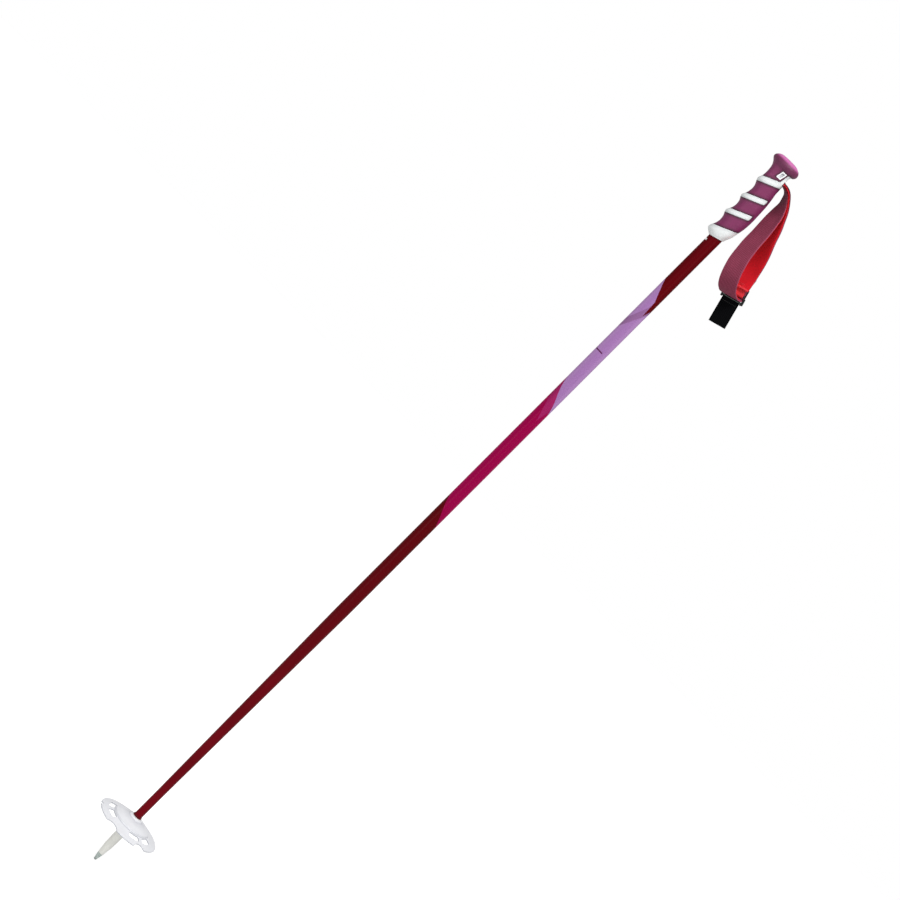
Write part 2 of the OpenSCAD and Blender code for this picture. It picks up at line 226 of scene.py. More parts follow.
def shaft_finish():
    """Gloss paint in four fields with slanting joints, a painted highlight along the sides of its magenta and
    lilac fields, a little orange peel and scuffs at the foot.
    """
    low_red, high_red = ink(112, 6, 20), ink(90, 0, 8)
    finish = Finish("shaft paint", low_red, coat_roughness=0.2, specular_ior_level=0.03)
    x, y, z = finish.axes()
    cloud = finish.noise(55, 3, (1, 1, 0.25))
    side = (x / 0.008).math("MINIMUM", 1.0).math("MAXIMUM", -1.0)

    def above(middle, slant, bend=0.0, edge=0.0003):
        """1 above a joint at that height, which slants and bends across the front."""
        line = z + side * slant - side * side * side * bend
        return line.ease(middle - edge, middle + edge)

    def fleck(middle, tall, across, behind):
        """1 in a small mark at that height, which fades out between each pair of places."""
        return (z - middle).size().ease(*tall) * (1 - side.ease(*across)) * (1 - y.ease(*behind))

    pale = above(0.752, 0.025, 0.0, 0.001) * (1 - (side - (z - 0.7436) * 24.8).ease(0.3, 0.42))
    veil = above(0.9005, -0.0162, 0.0, 0.0012) * (1 - above(0.918, -0.0202, 0.0, 0.0012))
    tail = above(0.8985, -0.0256) * (side + (z - 0.911) * 7.3).ease(0.48, 0.53)
    top = (above(0.9392, 0.0194, -0.002) + tail).math("MINIMUM", 1.0)
    scuff = finish.noise(900, 4, (1, 1, 0.12), rough=0.65).ease(0.7, 0.76) * (1 - z.ease(0.09, 0.2))
    # painted highlight: the magenta and lilac fields turn lighter towards the tube's left and right sides
    magenta_painted_side_light = finish.mix(side.size().ease(0.45, 0.95) * 0.6, ink(144, 0, 65), ink(172, 10, 88))
    lilac_painted_side_light = finish.mix(side.size().ease(0.25, 0.9) * 0.8, ink(155, 112, 168), ink(180, 138, 192))
    colour = finish.layered(
        low_red,
        (z.ease(0.2, 0.55), high_red),
        (cloud.ease(0.3, 0.75) * 0.5, shade(high_red, 0.8)),
        (above(0.5915, 0.0175, -0.004), magenta_painted_side_light),
        (pale, ink(152, 30, 90)),
        (above(0.7785, 0.0175, -0.007), lilac_painted_side_light),
        (veil * 0.7, ink(130, 88, 130)),
        (top, high_red),
        (fleck(0.8497, (0.0009, 0.0006), (0.18, 0.22), (-0.001, 0.0)), ink(84, 30, 70)),
        (fleck(1.0233, (0.0013, 0.001), (-0.8, -0.76), (0.0035, 0.004)), ink(236, 236, 238)),
        (scuff * 0.4, ink(150, 84, 90)),
    )
    roughness = 0.36 + finish.noise(240, 3) * 0.1 + scuff * 0.2
    finish.put("Coat Weight", 0.04 - scuff * 0.03)
    return finish.done(colour, roughness, finish.noise(520, 2), 0.000006)


def moulded_finish(name, colour, roughness=0.42, grain=2600, rise=0.00002, tint=0.93, deep=None, **sockets):
    """Moulded plastic: fine grain, a little cloud in the colour, and, where a deep colour is given, painted
    shade in that colour at the edges, seams and recesses the mesh marks.
    """
    finish = Finish(name, colour, **sockets)
    cloud = finish.noise(70, 3)
    speck = finish.noise(grain, 2)
    body = finish.mix(cloud.ease(0.35, 0.75), colour, shade(colour, tint))
    # painted shade: the deep colour darkens the edges, seams and recesses that the mesh marks
    if deep:
        body = finish.mix(finish.edge(), body, deep)
    return finish.done(body, roughness + (speck - 0.5) * 0.14 + (cloud - 0.5) * 0.12, speck, rise)


def rubber_finish():
    """Soft overmould: matt grain, painted shade along its seams, round its windows and in the neck under the
    crown, and a painted highlight on the crown.
    """
    base = ink(118, 32, 82)
    sheen = {"sheen_weight": 0.06, "sheen_roughness": 0.4, "sheen_tint": ink(225, 150, 205)}
    finish = Finish("soft grip", base, specular_ior_level=0.45, **sheen)
    cloud = finish.noise(90, 4)
    values = {"Vector": finish.place(), "Scale": 1500.0}
    grain = finish.node("ShaderNodeTexVoronoi", {"feature": "F1"}, values, "Distance")
    height = finish.axes()[2]
    colour = finish.layered(
        shade(base, 0.88),
        (cloud.ease(0.3, 0.7), base),
        (finish.noise(260, 5).ease(0.58, 0.8) * 0.5, ink(140, 54, 108)),
        # painted shade in the neck under the crown
        (height.ease(1.131, 1.140) * (1 - height.ease(1.1445, 1.147)) * 0.6, shade(base, 0.45)),
        # painted highlight on the crown
        (height.ease(1.1447, 1.1482) * 0.75, ink(200, 108, 172)),
        # painted shade along the seams and round the windows, as the mesh marks it
        (finish.edge() * 0.9, ink(44, 2, 24)),
    )
    return finish.done(colour, 0.5 + cloud * 0.12, grain, 0.00004)


def steel_finish():
    """Turned and hardened steel: fine rings, grey-green cast and a dull worn point."""
    base = ink(172, 182, 178)
    finish = Finish("tip steel", base, metallic=1.0)
    z = finish.axes()[2]
    rings = finish.noise(2600, 2, (0.02, 0.02, 1))
    stain = finish.noise(420, 4)
    worn = 1 - z.ease(0.001, 0.0045)
    colour = finish.mix(stain.ease(0.45, 0.75), base, ink(140, 150, 146))
    colour = finish.mix(worn * 0.6, colour, ink(112, 116, 114))
    return finish.done(colour, 0.3 + rings * 0.15 + worn * 0.2, rings, 0.00002)


def cloth_finish(name, colour, tint, sheen=0.15, roughness=0.5, gloss=0.25):
    """A cloth's finish, its cloth place, and how far across and along the cloth that is, in mm."""
    finish = Finish(
        name, colour, sheen_weight=sheen, sheen_roughness=roughness, sheen_tint=tint, specular_ior_level=gloss
    )
    cloth = finish.cloth_place()
    return finish, cloth, *finish.split(cloth)[:2]


def woven_finish(name, colour, light, dark, rib, pick, contrast=1.0, **cloth_look):
    """Webbing: lengthwise ribs crossed by picks, lighter along both edges, and painted shade where the mesh
    marks it.
    """
    finish, cloth, across, along = cloth_finish(name, colour, light, **cloth_look)
    ribs = (across + finish.noise(0.16, 1, vector=cloth) * 0.5).wave(rib)
    picks = (along + ribs * pick * 0.5).wave(pick)
    fuzz = finish.noise(3.0, 3, (1, 0.3, 1), cloth)
    cloud = finish.noise(0.09, 3, (1, 0.5, 1), cloth)
    weave = ribs * 0.62 + picks * 0.2 + fuzz * 0.18
    body = finish.layered(
        shade(colour, 0.84),
        (cloud.ease(0.3, 0.7), colour),
        (weave.ease(0.5, 0.95) * 0.7 * contrast, light),
        ((1 - weave).ease(0.5, 0.95) * 0.75 * contrast, dark),
        (across.size().ease(10.7, 11.5) * 0.5, shade(light, 1.15)),
        # painted shade where the mesh marks it
        (finish.edge(), shade(dark, 0.4)),
    )
    return finish.done(body, 0.7 + fuzz * 0.15, weave, 0.00012)


def brushed_finish(name, colour, light, dark):
    """Brushed knit lining: a soft nap in lengthwise streaks, and painted shade where the mesh marks it."""
    finish, cloth, across, along = cloth_finish(name, colour, light, 0.3, 0.4)
    nap = finish.noise(2.6, 4, (1, 0.35, 1), cloth, 0.6)
    cloud = finish.noise(0.11, 3, (1, 0.4, 1), cloth)
    courses = (along + across * 0.35).wave(0.9)
    body = finish.layered(
        shade(colour, 0.84),
        (cloud.ease(0.3, 0.72) * 0.8, colour),
        (nap.ease(0.45, 0.85) * 0.4, light),
        ((1 - nap).ease(0.5, 0.8) * 0.5, dark),
        # painted shade where the mesh marks it
        (finish.edge(), shade(dark, 0.12)),
    )
    return finish.done(body, 0.72 + nap * 0.2, nap * 0.7 + courses * 0.3, 0.00008)


def thread_finish(name, colour):
    """Twisted sewing thread."""
    finish = Finish(name, colour, sheen_weight=0.3)
    x, y, z = finish.axes()
    twist = (x + y * 0.8 + z * 0.6).wave(0.00045)
    colour = finish.mix(twist * 0.5, colour, shade(colour, 0.6))
    return finish.done(colour, 0.5 + twist * 0.15, twist, 0.00005)


PAINT = shaft_finish()
MAROON = moulded_finish("stop ring plastic", ink(88, 8, 18), 0.42, specular_ior_level=0.12)
FERRULE = moulded_finish("ferrule plastic", ink(246, 246, 239), 0.45, 1800, 0.00003)
STEEL = steel_finish()
# the last colours of the basket, grip body and anchor are painted shade at their marked edges, seams and
# recesses
BASKET = moulded_finish("basket plastic", ink(232, 233, 237), 0.4, 1600, 0.00002, 0.97, ink(196, 198, 205))
WHITE = moulded_finish("grip plastic", ink(228, 232, 232), 0.42, tint=0.95, deep=ink(176, 180, 182))
PALE = moulded_finish("anchor plastic", ink(238, 240, 241), 0.42, tint=0.97, deep=ink(196, 199, 202))
SOFT = rubber_finish()
MAUVE = woven_finish("strap webbing", ink(130, 46, 70), ink(156, 80, 104), ink(84, 20, 42), 1.7, 2.4)
RED = brushed_finish("strap lining", ink(218, 16, 34), ink(238, 52, 62), ink(168, 6, 22))
TAPE = woven_finish(
    "end loop tape", ink(226, 50, 60), ink(242, 96, 102), ink(184, 26, 38), 1.3, 0.9, contrast=0.5
)
BLACK = moulded_finish("slider plastic", ink(12, 13, 13), 0.3, 1800, 0.00002, specular_ior_level=0.35)
# painted highlight: a pale grey colour for the bead that stands in for the light caught on the slider's lower
# bar
PAINTED_HIGHLIGHT_BEAD = moulded_finish("tab bead", ink(84, 92, 87), 0.3, 1800, 0.00002, specular_ior_level=0.3)
TAB = woven_finish(
    "pull tab webbing", ink(5, 5, 7), ink(15, 16, 18), ink(2, 2, 3), 2.0, 0.8, sheen=0.0, gloss=0.03
)
RED_THREAD = thread_finish("red thread", ink(206, 44, 54))
BLACK_THREAD = thread_finish("black thread", ink(9, 9, 10))


# ---- mesh helpers ----


def finished(thing, material, angle=SMOOTH_ANGLE):
    """Smooth faces with sharp edges where they turn, and one material."""
    mesh = thing.data
    mesh.materials.clear()
    mesh.materials.append(material)
    mesh.polygons.foreach_set("use_smooth", [True] * len(mesh.polygons))
    mesh.set_sharp_from_angle(angle=angle)
    mesh.update()
    return thing


def built(name, points, faces, material, cloth=None, angle=SMOOTH_ANGLE, weld=2e-6, edge=None):
    """A closed piece from points in mm and faces, with each point's cloth place and share of painted shade.
    """
    mesh = bpy.data.meshes.new(name)
    mesh.from_pydata([tuple(p) for p in np.asarray(points, float) * MM], [], [tuple(f) for f in faces])
    if cloth is not None:
        layer = mesh.uv_layers.new(name="cloth")
        corners = np.zeros(len(mesh.loops), np.int64)
        mesh.loops.foreach_get("vertex_index", corners)
        layer.data.foreach_set("uv", np.asarray(cloth, float)[corners].ravel())
    if edge is not None:
        mesh.attributes.new("edge", "FLOAT", "POINT").data.foreach_set("value", np.asarray(edge, np.float32))
    cleaned(mesh, weld)
    return finished(placed(name, mesh), material, angle)


def placed(name, data):
    thing = bpy.data.objects.new(name, data)
    bpy.context.scene.collection.objects.link(thing)
    return thing


def facing(right, up, back, place):
    """The matrix of a thing whose x, y and z point right, up and back, at a place."""
    columns = zip(right, up, back, place)
    return Matrix([*columns, (0, 0, 0, 1)])


def cleaned(mesh, weld=2e-6):
    """Merges a mesh's doubles and turns its faces outwards."""
    work = bmesh.new()
    work.from_mesh(mesh)
    if weld:
        bmesh.ops.remove_doubles(work, verts=work.verts, dist=weld)
        bmesh.ops.dissolve_degenerate(work, edges=work.edges, dist=1e-7)
    bmesh.ops.recalc_face_normals(work, faces=work.faces)
    work.to_mesh(mesh)
    work.free()


def applied(thing):
    """Gives an object what its modifiers make as its own plain mesh."""
    graph = bpy.context.evaluated_depsgraph_get()
    mesh = bpy.data.meshes.new_from_object(thing.evaluated_get(graph))
    thing.modifiers.clear()
    thing.data = mesh
    return mesh


def settled(thing, material, angle=SMOOTH_ANGLE):
    """Applies an object's modifiers, then cleans and finishes the result."""
    mesh = applied(thing)
    mesh.name = thing.name
    cleaned(mesh)
    return finished(thing, material, angle)


def cut(thing, cutter):
    """Cuts thing with a closed cutter, which is then thrown away."""
    modifier = thing.modifiers.new("cut", "BOOLEAN")
    modifier.object, modifier.operation, modifier.solver = cutter, "DIFFERENCE", "EXACT"
    applied(thing)
    bpy.data.objects.remove(cutter)


def joined(name, *things):
    """One object out of several, which keep their own closed shells."""
    work, material = bmesh.new(), things[0].data.materials[0]
    for thing in things:
        work.from_mesh(thing.data)
        bpy.data.objects.remove(thing)
    mesh = bpy.data.meshes.new(name)
    work.to_mesh(mesh)
    work.free()
    return finished(placed(name, mesh), material)


def cells(rows, cols, wrap=True, start=0):
    """The corners of each cell in a grid of points, which may be numbered from a start."""
    for j in range(rows - 1):
        for i in range(cols if wrap else cols - 1):
            a, b = start + j * cols + i, start + j * cols + (i + 1) % cols
            yield a, b, b + cols, a + cols


def stacked(rings):
    """Points and faces of a closed skin over a stack of equal rings, with flat ends."""
    rings = np.asarray(rings, float)
    count, size = rings.shape[:2]
    ends = [tuple(reversed(range(size))), tuple(range((count - 1) * size, count * size))]
    return rings.reshape(-1, 3), [*cells(count, size), *ends]


def rounded(outline, radius, closed=True, steps=5):
    """A polygon in a plane with its corners rounded, each by at most 45% of its shorter side."""
    outline = np.asarray(outline, float)
    made, count = [], len(outline)
    for i, corner in enumerate(outline):
        if not closed and i in (0, count - 1):
            made.append(corner)
            continue
        back, ahead = outline[i - 1] - corner, outline[(i + 1) % count] - corner
        a, b = np.linalg.norm(back), np.linalg.norm(ahead)
        back, ahead = back / a, ahead / b
        half = math.acos(max(-1.0, min(1.0, float(back @ ahead)))) / 2
        reach = min(radius / math.tan(half), 0.45 * a, 0.45 * b) if half > 0.05 else 0
        if half > math.pi / 2 - 0.03 or reach <= 0:
            made.append(corner)
            continue
        for s in np.linspace(0, 1, steps):
            made.append(corner + back * reach * (1 - s) ** 2 + ahead * reach * s**2)
    return np.array(made)


def hermite(t, step, first, first_slope, second, second_slope):
    """The smooth curve between two values, at a share t of the step between them."""
    return (
        first * (1 + 2 * t) * (1 - t) ** 2
        + first_slope * step * t * (1 - t) ** 2
        + second * t**2 * (3 - 2 * t)
        + second_slope * step * t**2 * (t - 1)
    )


def pchip(rows, at):
    """A smooth curve through [place, value] rows that never overshoots them."""
    rows = np.asarray(rows, float)
    x, y = rows[:, 0], rows[:, 1]
    h, d = np.diff(x), np.diff(y) / np.diff(x)
    slope = np.zeros(len(x))
    slope[0], slope[-1] = d[0], d[-1]
    for i in range(1, len(x) - 1):
        if d[i - 1] * d[i] > 0:
            a, b = 2 * h[i] + h[i - 1], h[i] + 2 * h[i - 1]
            slope[i] = (a + b) / (a / d[i - 1] + b / d[i])
    at = np.clip(np.asarray(at, float), x[0], x[-1])
    i = np.clip(np.searchsorted(x, at) - 1, 0, len(x) - 2)
    t = (at - x[i]) / h[i]
    return hermite(t, h[i], y[i], slope[i], y[i + 1], slope[i + 1])


def new_tree(name, **sizes):
    """A geometry tree for a line of points, and its inputs: the line, the sizes and a material."""
    tree = bpy.data.node_groups.new(name, "GeometryNodeTree")

    def add(label, kind, way="INPUT"):
        return tree.interface.new_socket(label, in_out=way, socket_type="NodeSocket" + kind)

    add("Geometry", "Geometry")
    for label, value in sizes.items():
        add(label, "Int" if isinstance(value, int) else "Float").default_value = value
    add("Material", "Material")
    add("Geometry", "Geometry", "OUTPUT")
    nodes = Nodes(tree)
    given = tree.nodes.new("NodeGroupInput").outputs
    return nodes, {socket.name: Wire(nodes, socket) for socket in given if socket.name}


def ended(nodes, given, made):
    """The tree, which gives made as real geometry in the material."""
    real = nodes.node("GeometryNodeRealizeInstances", None, {0: made})
    dyed = nodes.node("GeometryNodeSetMaterial", None, {0: real, "Material": given["Material"]})
    nodes.fill(nodes.tree.nodes.new("NodeGroupOutput").inputs[0], dyed)
    return nodes.tree


def grown(tree, name, points, edges, material, angle=SMOOTH_ANGLE, **sizes):
    """Runs a tree on a line of points in mm, and settles what it makes."""
    line = bpy.data.meshes.new(name)
    line.from_pydata([tuple(p) for p in np.asarray(points, float) * MM], edges, [])
    thing = placed(name, line)
    modifier = thing.modifiers.new("make", "NODES")
    modifier.node_group = tree
    sockets = {s.name: s.identifier for s in tree.interface.items_tree if s.in_out == "INPUT"}
    for label, value in {"Material": material, **sizes}.items():
        modifier[sockets[label]] = value
    return settled(thing, material, angle)


# ---- turned pieces ----


def turned_tree():
    """Turns an outline, drawn with x as its radius and z as its height, about the pole's axis."""
    nodes, given = new_tree("Turned piece", Segments=96, Rail=0.01)
    x, _, z = nodes.split(nodes.node("GeometryNodeInputPosition"))
    flat = nodes.node("ShaderNodeCombineXYZ", None, {"X": x - given["Rail"], "Y": z * -1.0})
    laid = nodes.node("GeometryNodeSetPosition", None, {0: given["Geometry"], "Position": flat})
    outline = nodes.node("GeometryNodeMeshToCurve", None, {0: laid})
    circle = {"Resolution": given["Segments"], "Radius": given["Rail"]}
    circle = nodes.node("GeometryNodeCurvePrimitiveCircle", None, circle)
    swept = nodes.node("GeometryNodeCurveToMesh", None, {"Curve": circle, "Profile Curve": outline})
    return ended(nodes, given, nodes.node("GeometryNodeMergeByDistance", None, {0: swept, "Distance": 2e-6}))


TURNED = turned_tree()


def turned(name, outline, material, segments=96, closed=True):
    points = [(r, 0, z) for r, z in outline]
    edges = [(i, i + 1) for i in range(len(points) - 1)]
    if closed:
        edges.append((len(points) - 1, 0))
    return grown(TURNED, name, points, edges, material, math.radians(30), Segments=segments)


def box_mm(node):
    return [np.array(corner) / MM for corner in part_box(node)]


shaft_low, shaft_high = box_mm("shaft")
TUBE_R, SEAT_R, WALL, FOOT_R = 8.0, 7.6, 1.1, 5.0
TAPER = (115.0, 425.0)
shaft_outline = (
    [(FOOT_R - WALL, shaft_low[2]), (FOOT_R, shaft_low[2])]
    + [(FOOT_R, TAPER[0] - 15), (FOOT_R, TAPER[0]), (TUBE_R, TAPER[1])]
    + [(TUBE_R, z) for z in np.linspace(TAPER[1] + 60, 1020, 10)]
    + [(TUBE_R, 1036.0), (SEAT_R, 1036.4), (SEAT_R, shaft_high[2])]
    + [(SEAT_R - WALL, shaft_high[2]), (SEAT_R - WALL, 1036.0), (TUBE_R - WALL, 1030.0)]
    + [(TUBE_R - WALL, TAPER[1]), (FOOT_R - WALL, TAPER[0])]
)
shaft = turned("shaft_tube", shaft_outline, PAINT)

ring_low, _ = box_mm("stop_ring")
ring_profile = [(5.05, 0), (5.75, 0), (5.9, 0.5), (5.82, 1.1), (5.6, 1.8), (5.35, 2.25), (5.05, 2.4)]
stop_ring = turned("foot_ring", [(r, z + ring_low[2]) for r, z in rounded(ring_profile, 0.3)], MAROON)

ferrule_low, ferrule_high = box_mm("ferrule")
HUB_SEAT, SHOULDER, FERRULE_TOP = 5.8, 58.0, ferrule_high[2]
ferrule_profile = [
    (2.25, ferrule_low[2]), (3.65, ferrule_low[2]), (3.98, 13.2), (4.45, 17.4), (4.98, 20.6), (5.3, 23.4),
    (5.5, 27), (5.72, 33), (5.86, 38.5), (5.96, 44), (6.04, 50), (6.1, 55), (6.12, 55.8), (6.4, 56.3),
    (6.5, 56.8), (6.5, 57.7), (6.3, SHOULDER), (HUB_SEAT, SHOULDER), (HUB_SEAT, FERRULE_TOP),
    (5.05, FERRULE_TOP), (5.05, 39.95), (2.25, 39.95),
]
ferrule = turned("ferrule_body", rounded(ferrule_profile, 0.4, steps=4), FERRULE)

NOSE = 2.0
nose_turns = np.radians(np.linspace(-80, 10, 8))
spike_profile = [
    (0.0, 0.0), *[(NOSE * math.cos(a), NOSE + NOSE * math.sin(a)) for a in nose_turns], (2.2, 3.0),
    (2.5, 4.5), (2.94, 6.6), (3.0, 6.95), (2.86, 7.15), (2.8, 7.35), (2.8, 7.6), (2.9, 7.8), (3.16, 7.95),
    (3.26, 8.3), (3.45, 9.6), (3.6, 10.6), (3.55, 10.85), (2.2, 10.87), (2.2, 33.8), (2.0, 34.0), (0.0, 34.0),
]
spike = turned("tip_point", spike_profile, STEEL, 72, closed=False)


# ---- basket ----

BORE_R, SHEET, COLUMNS = 5.86, 1.8, 360
STEP_FOOT, STEP_Z, PLATE_OUT = 26.3, 64.55, 35.5
RIM_R, RIM_Z, RIM_LIP, RIM_THICK = 43.0, 59.75, 0.62, 1.5
WINDOW_IN, WINDOW_OUT, WINDOW_SPAN, WINDOW_CORNER, WINDOW_LIP = 26.75, 33.4, 14.3, 1.9, 0.42
WINDOW_MID = (WINDOW_IN + WINDOW_OUT) / 2
WINDOW_TURNS = [78 + 120 * k + side * 20 for k in range(3) for side in (-1, 1)]
PATCH_HALF, PLATE_ROWS = 18, np.linspace(STEP_FOOT, PLATE_OUT, 12)
# each cut in the rim: its direction in degrees, how far out its middle lies, and its radius
RIM_CUTS = [(250, 50.5, 12.5), (311, 46.8, 9.8), (193, 43.2, 3.0), (24.6, 44.0, 2.4)]


def soft_least(a, b, blend):
    """The lesser of two values, with the corner between them rounded."""
    h = np.clip(0.5 + 0.5 * (b - a) / blend, 0, 1)
    return b * (1 - h) + a * h - blend * h * (1 - h)


def rim_reach(turn):
    """How far out the rim lies at each turn, in degrees, with its scallops and nicks."""
    reach = np.full_like(turn, RIM_R)
    for at, out, radius in RIM_CUTS:
        off = np.radians((turn - at + 180) % 360 - 180)
        under = radius**2 - (out * np.sin(off)) ** 2
        hit = (under > 0) & (np.cos(off) > 0)
        edge = np.where(hit, out * np.cos(off) - np.sqrt(np.maximum(under, 0)), RIM_R + 4)
        reach = soft_least(reach, edge, 0.5 if radius < 4 else 1.6)
    return reach


def plate_z(r):
    """Height of the dish's upper face outside its step."""
    return STEP_Z + (r - STEP_FOOT) * (RIM_Z - STEP_Z) / (RIM_R - 1 - STEP_FOOT)


def lip_drop(inside):
    """How far a window's rounded edge falls at a distance inside the edge."""
    e = np.clip(1 - inside / WINDOW_LIP, 0, 1)
    return WINDOW_LIP * (1 - np.sqrt(1 - e**2))


# painted shade in the corner at the foot of the step
def step_foot_shade(r):
    return np.exp(-(((r - STEP_FOOT) / 0.4) ** 2))


def window_ring(out):
    """The window's rounded outline, out mm outside it: degrees off its middle, and radii."""
    half = (math.radians(WINDOW_SPAN) * WINDOW_MID + out, (WINDOW_OUT - WINDOW_IN) / 2 + out)
    made = []
    for side in range(4):
        count = 2 * PATCH_HALF if side % 2 == 0 else len(PLATE_ROWS) - 1
        for share in np.linspace(0, 1, count, endpoint=False):
            made.append(window_point(side, share, half, WINDOW_CORNER + out))
    arc, rise = np.array(made).T
    return np.degrees(arc / WINDOW_MID), rise + WINDOW_MID


def window_point(side, s, half, corner):
    """A point on one side of a rounded box, from the middle of one corner to the middle of the next."""
    long, wide = (half[0], half[1]) if side % 2 == 0 else (half[1], half[0])
    quarter = math.pi / 4 * corner
    straight = 2 * (long - corner)
    at = s * (straight + 2 * quarter)
    if at < quarter:
        a = math.pi / 4 + at / corner
        x, y = -(long - corner) - corner * math.sin(math.pi / 2 - a), wide - corner + corner * math.sin(a)
    elif at > quarter + straight:
        a = (at - quarter - straight) / corner
        x, y = long - corner + corner * math.sin(a), wide - corner + corner * math.cos(a)
    else:
        x, y = -(long - corner) + at - quarter, wide
    turn = -side * math.pi / 2
    return (x * math.cos(turn) - y * math.sin(turn), x * math.sin(turn) + y * math.cos(turn))


def polar(r, turn, z):
    turn = np.radians(turn)
    return np.stack(np.broadcast_arrays(r * np.cos(turn), r * np.sin(turn), z), axis=-1)


def basket_mesh():
    """The whole dish: turned hub and step, a plate with windows, and a rim cut by scallops."""
    points, faces, marks = [], [], []
    turns = np.arange(COLUMNS) * 360.0 / COLUMNS

    def lattice(grid, wrap=True, marked=0.0):
        """Adds a grid, with a share of painted shade for each row or for each point."""
        grid, marked = np.array(grid), np.array(marked, float)
        shape = grid.shape[:2]
        faces.extend(cells(*shape, wrap, len(points)))
        points.extend(grid.reshape(-1, 3))
        marks.extend(np.broadcast_to(marked[:, None] if marked.ndim == 1 else marked, shape).ravel())

    # hub, from the foot of the step over the top, down the bore and back out underneath
    hub = [(STEP_FOOT, STEP_Z), (26.0, 64.75), (25.62, 66.05), (25.1, 66.66), (18, 68.9), (10.4, 71.4),
           (9.6, 71.9), (8.0, 73.3), (7.4, 74.1), (BORE_R, 74.1), (BORE_R, 58.4), (9.0, 58.4), (9.3, 61.4),
           (11.4, 68.2), (13, 68.75), (24.2, 64.4), (STEP_FOOT, STEP_Z - SHEET)]
    # painted shade at the hub's edges: each a radius and how wide it spreads
    edges = ((26.2, 0.35), (25.3, 0.2), (9.9, 0.6))
    notch = np.clip(np.cos(np.radians(turns * 12)) * 6 - 4.6, 0, 1)
    grid, marked = [], []
    for r, z in rounded(hub, 0.5, closed=False):
        depth = 0.45 if 7.5 < r < 10.1 and z > 71.5 else 0.0
        grid.append(polar(r - depth * notch, turns, z))
        marked.append(max(math.exp(-(((r - at) / wide) ** 2)) for at, wide in edges))
    lattice(grid, marked=marked)

    # plate, where each window's patch joins the plain lattice on whole degrees
    patched = {round(at + off) % COLUMNS for at in WINDOW_TURNS for off in range(-PATCH_HALF, PATCH_HALF)}
    across = np.linspace(-PATCH_HALF, PATCH_HALF, 2 * PATCH_HALF, endpoint=False)
    upright = np.full(len(PLATE_ROWS) - 1, PATCH_HALF)
    border_off = np.concatenate([across, upright, -across, -upright])
    border_r = [across * 0 + PLATE_OUT, PLATE_ROWS[:0:-1], across * 0 + STEP_FOOT, PLATE_ROWS[:-1]]
    border_r = np.concatenate(border_r)
    # painted shade round each window's edge, fading outwards, and at the step's foot
    patch_marks = np.repeat([[0.85], [0.7], [0.45], [0.2], [0.05], [0], [0], [0]], len(border_r), axis=1)
    patch_marks[-1] = step_foot_shade(border_r)
    for under in (0, SHEET):
        for i in sorted(set(range(COLUMNS)) - patched):
            pair = np.array([[turns[i], turns[(i + 1) % COLUMNS]]])
            plain = polar(PLATE_ROWS[:, None], pair, (plate_z(PLATE_ROWS) - under)[:, None])
            lattice(plain, False, step_foot_shade(PLATE_ROWS))
        for at in WINDOW_TURNS:
            rings = []
            for out in (0.0, 0.05, 0.14, 0.28, WINDOW_LIP):
                off, r = window_ring(out)
                drop = lip_drop(out) * (-1 if under else 1)
                rings.append(polar(r, at + off, plate_z(r) - under - drop))
            for t in (0.25, 0.55, 1.0):
                wider = r * (1 - t) + border_r * t
                rings.append(polar(wider, at + (off * (1 - t) + border_off * t), plate_z(wider) - under))
            lattice(rings, marked=patch_marks)
            if not under:
                off, r = window_ring(0.0)
                depths = (WINDOW_LIP, SHEET / 2, SHEET - WINDOW_LIP)
                # painted shade inside the window's wall
                lattice([polar(r, at + off, plate_z(r) - down) for down in depths], marked=[0.9] * 3)

    # rim, out to the scalloped edge and round it
    reach = rim_reach(turns)
    span, lip_z = reach - RIM_LIP - PLATE_OUT, plate_z(reach - RIM_LIP)
    ways = [(s, PLATE_OUT + span * s) for s in (0, 0.2, 0.4, 0.6, 0.8, 0.92)]
    edge = [(RIM_LIP, 0.0), (0.4, 0.04), (0.2, 0.16), (0.06, 0.36), (0.0, RIM_LIP)]
    grid = [polar(r, turns, plate_z(r)) for _, r in ways]
    grid += [polar(reach - back, turns, lip_z - drop) for back, drop in edge]
    grid += [polar(reach - back, turns, lip_z - RIM_THICK + drop) for back, drop in edge[::-1]]
    grid += [polar(r, turns, plate_z(r) - SHEET + (SHEET - RIM_THICK) * s) for s, r in ways[::-1]]
    # painted shade round the rim's edge
    lattice(grid, marked=[0] * 5 + [0.1, 0.2, 0.4, 0.6, 0.75, 0.85] + [0.85] * 5 + [0] * 6)
    return points, faces, marks


dish, dish_faces, dish_shade = basket_mesh()
basket = built("snow_basket", dish, dish_faces, BASKET, angle=math.radians(48), edge=dish_shade)


# ---- grip ----

HANDLE_HALF, SOFT_WALL, SLOPE = 13.2, 2.15, 0.42
COLLAR = (1031.7, 1046.4)
BAND_3, BAND_2, BAND_1 = (1065.3, 1071.7), (1089.4, 1095.8), (1114.7, 1122.4)
SPINE_TOP, GRIP_TOP = 1136.8, 1150.0
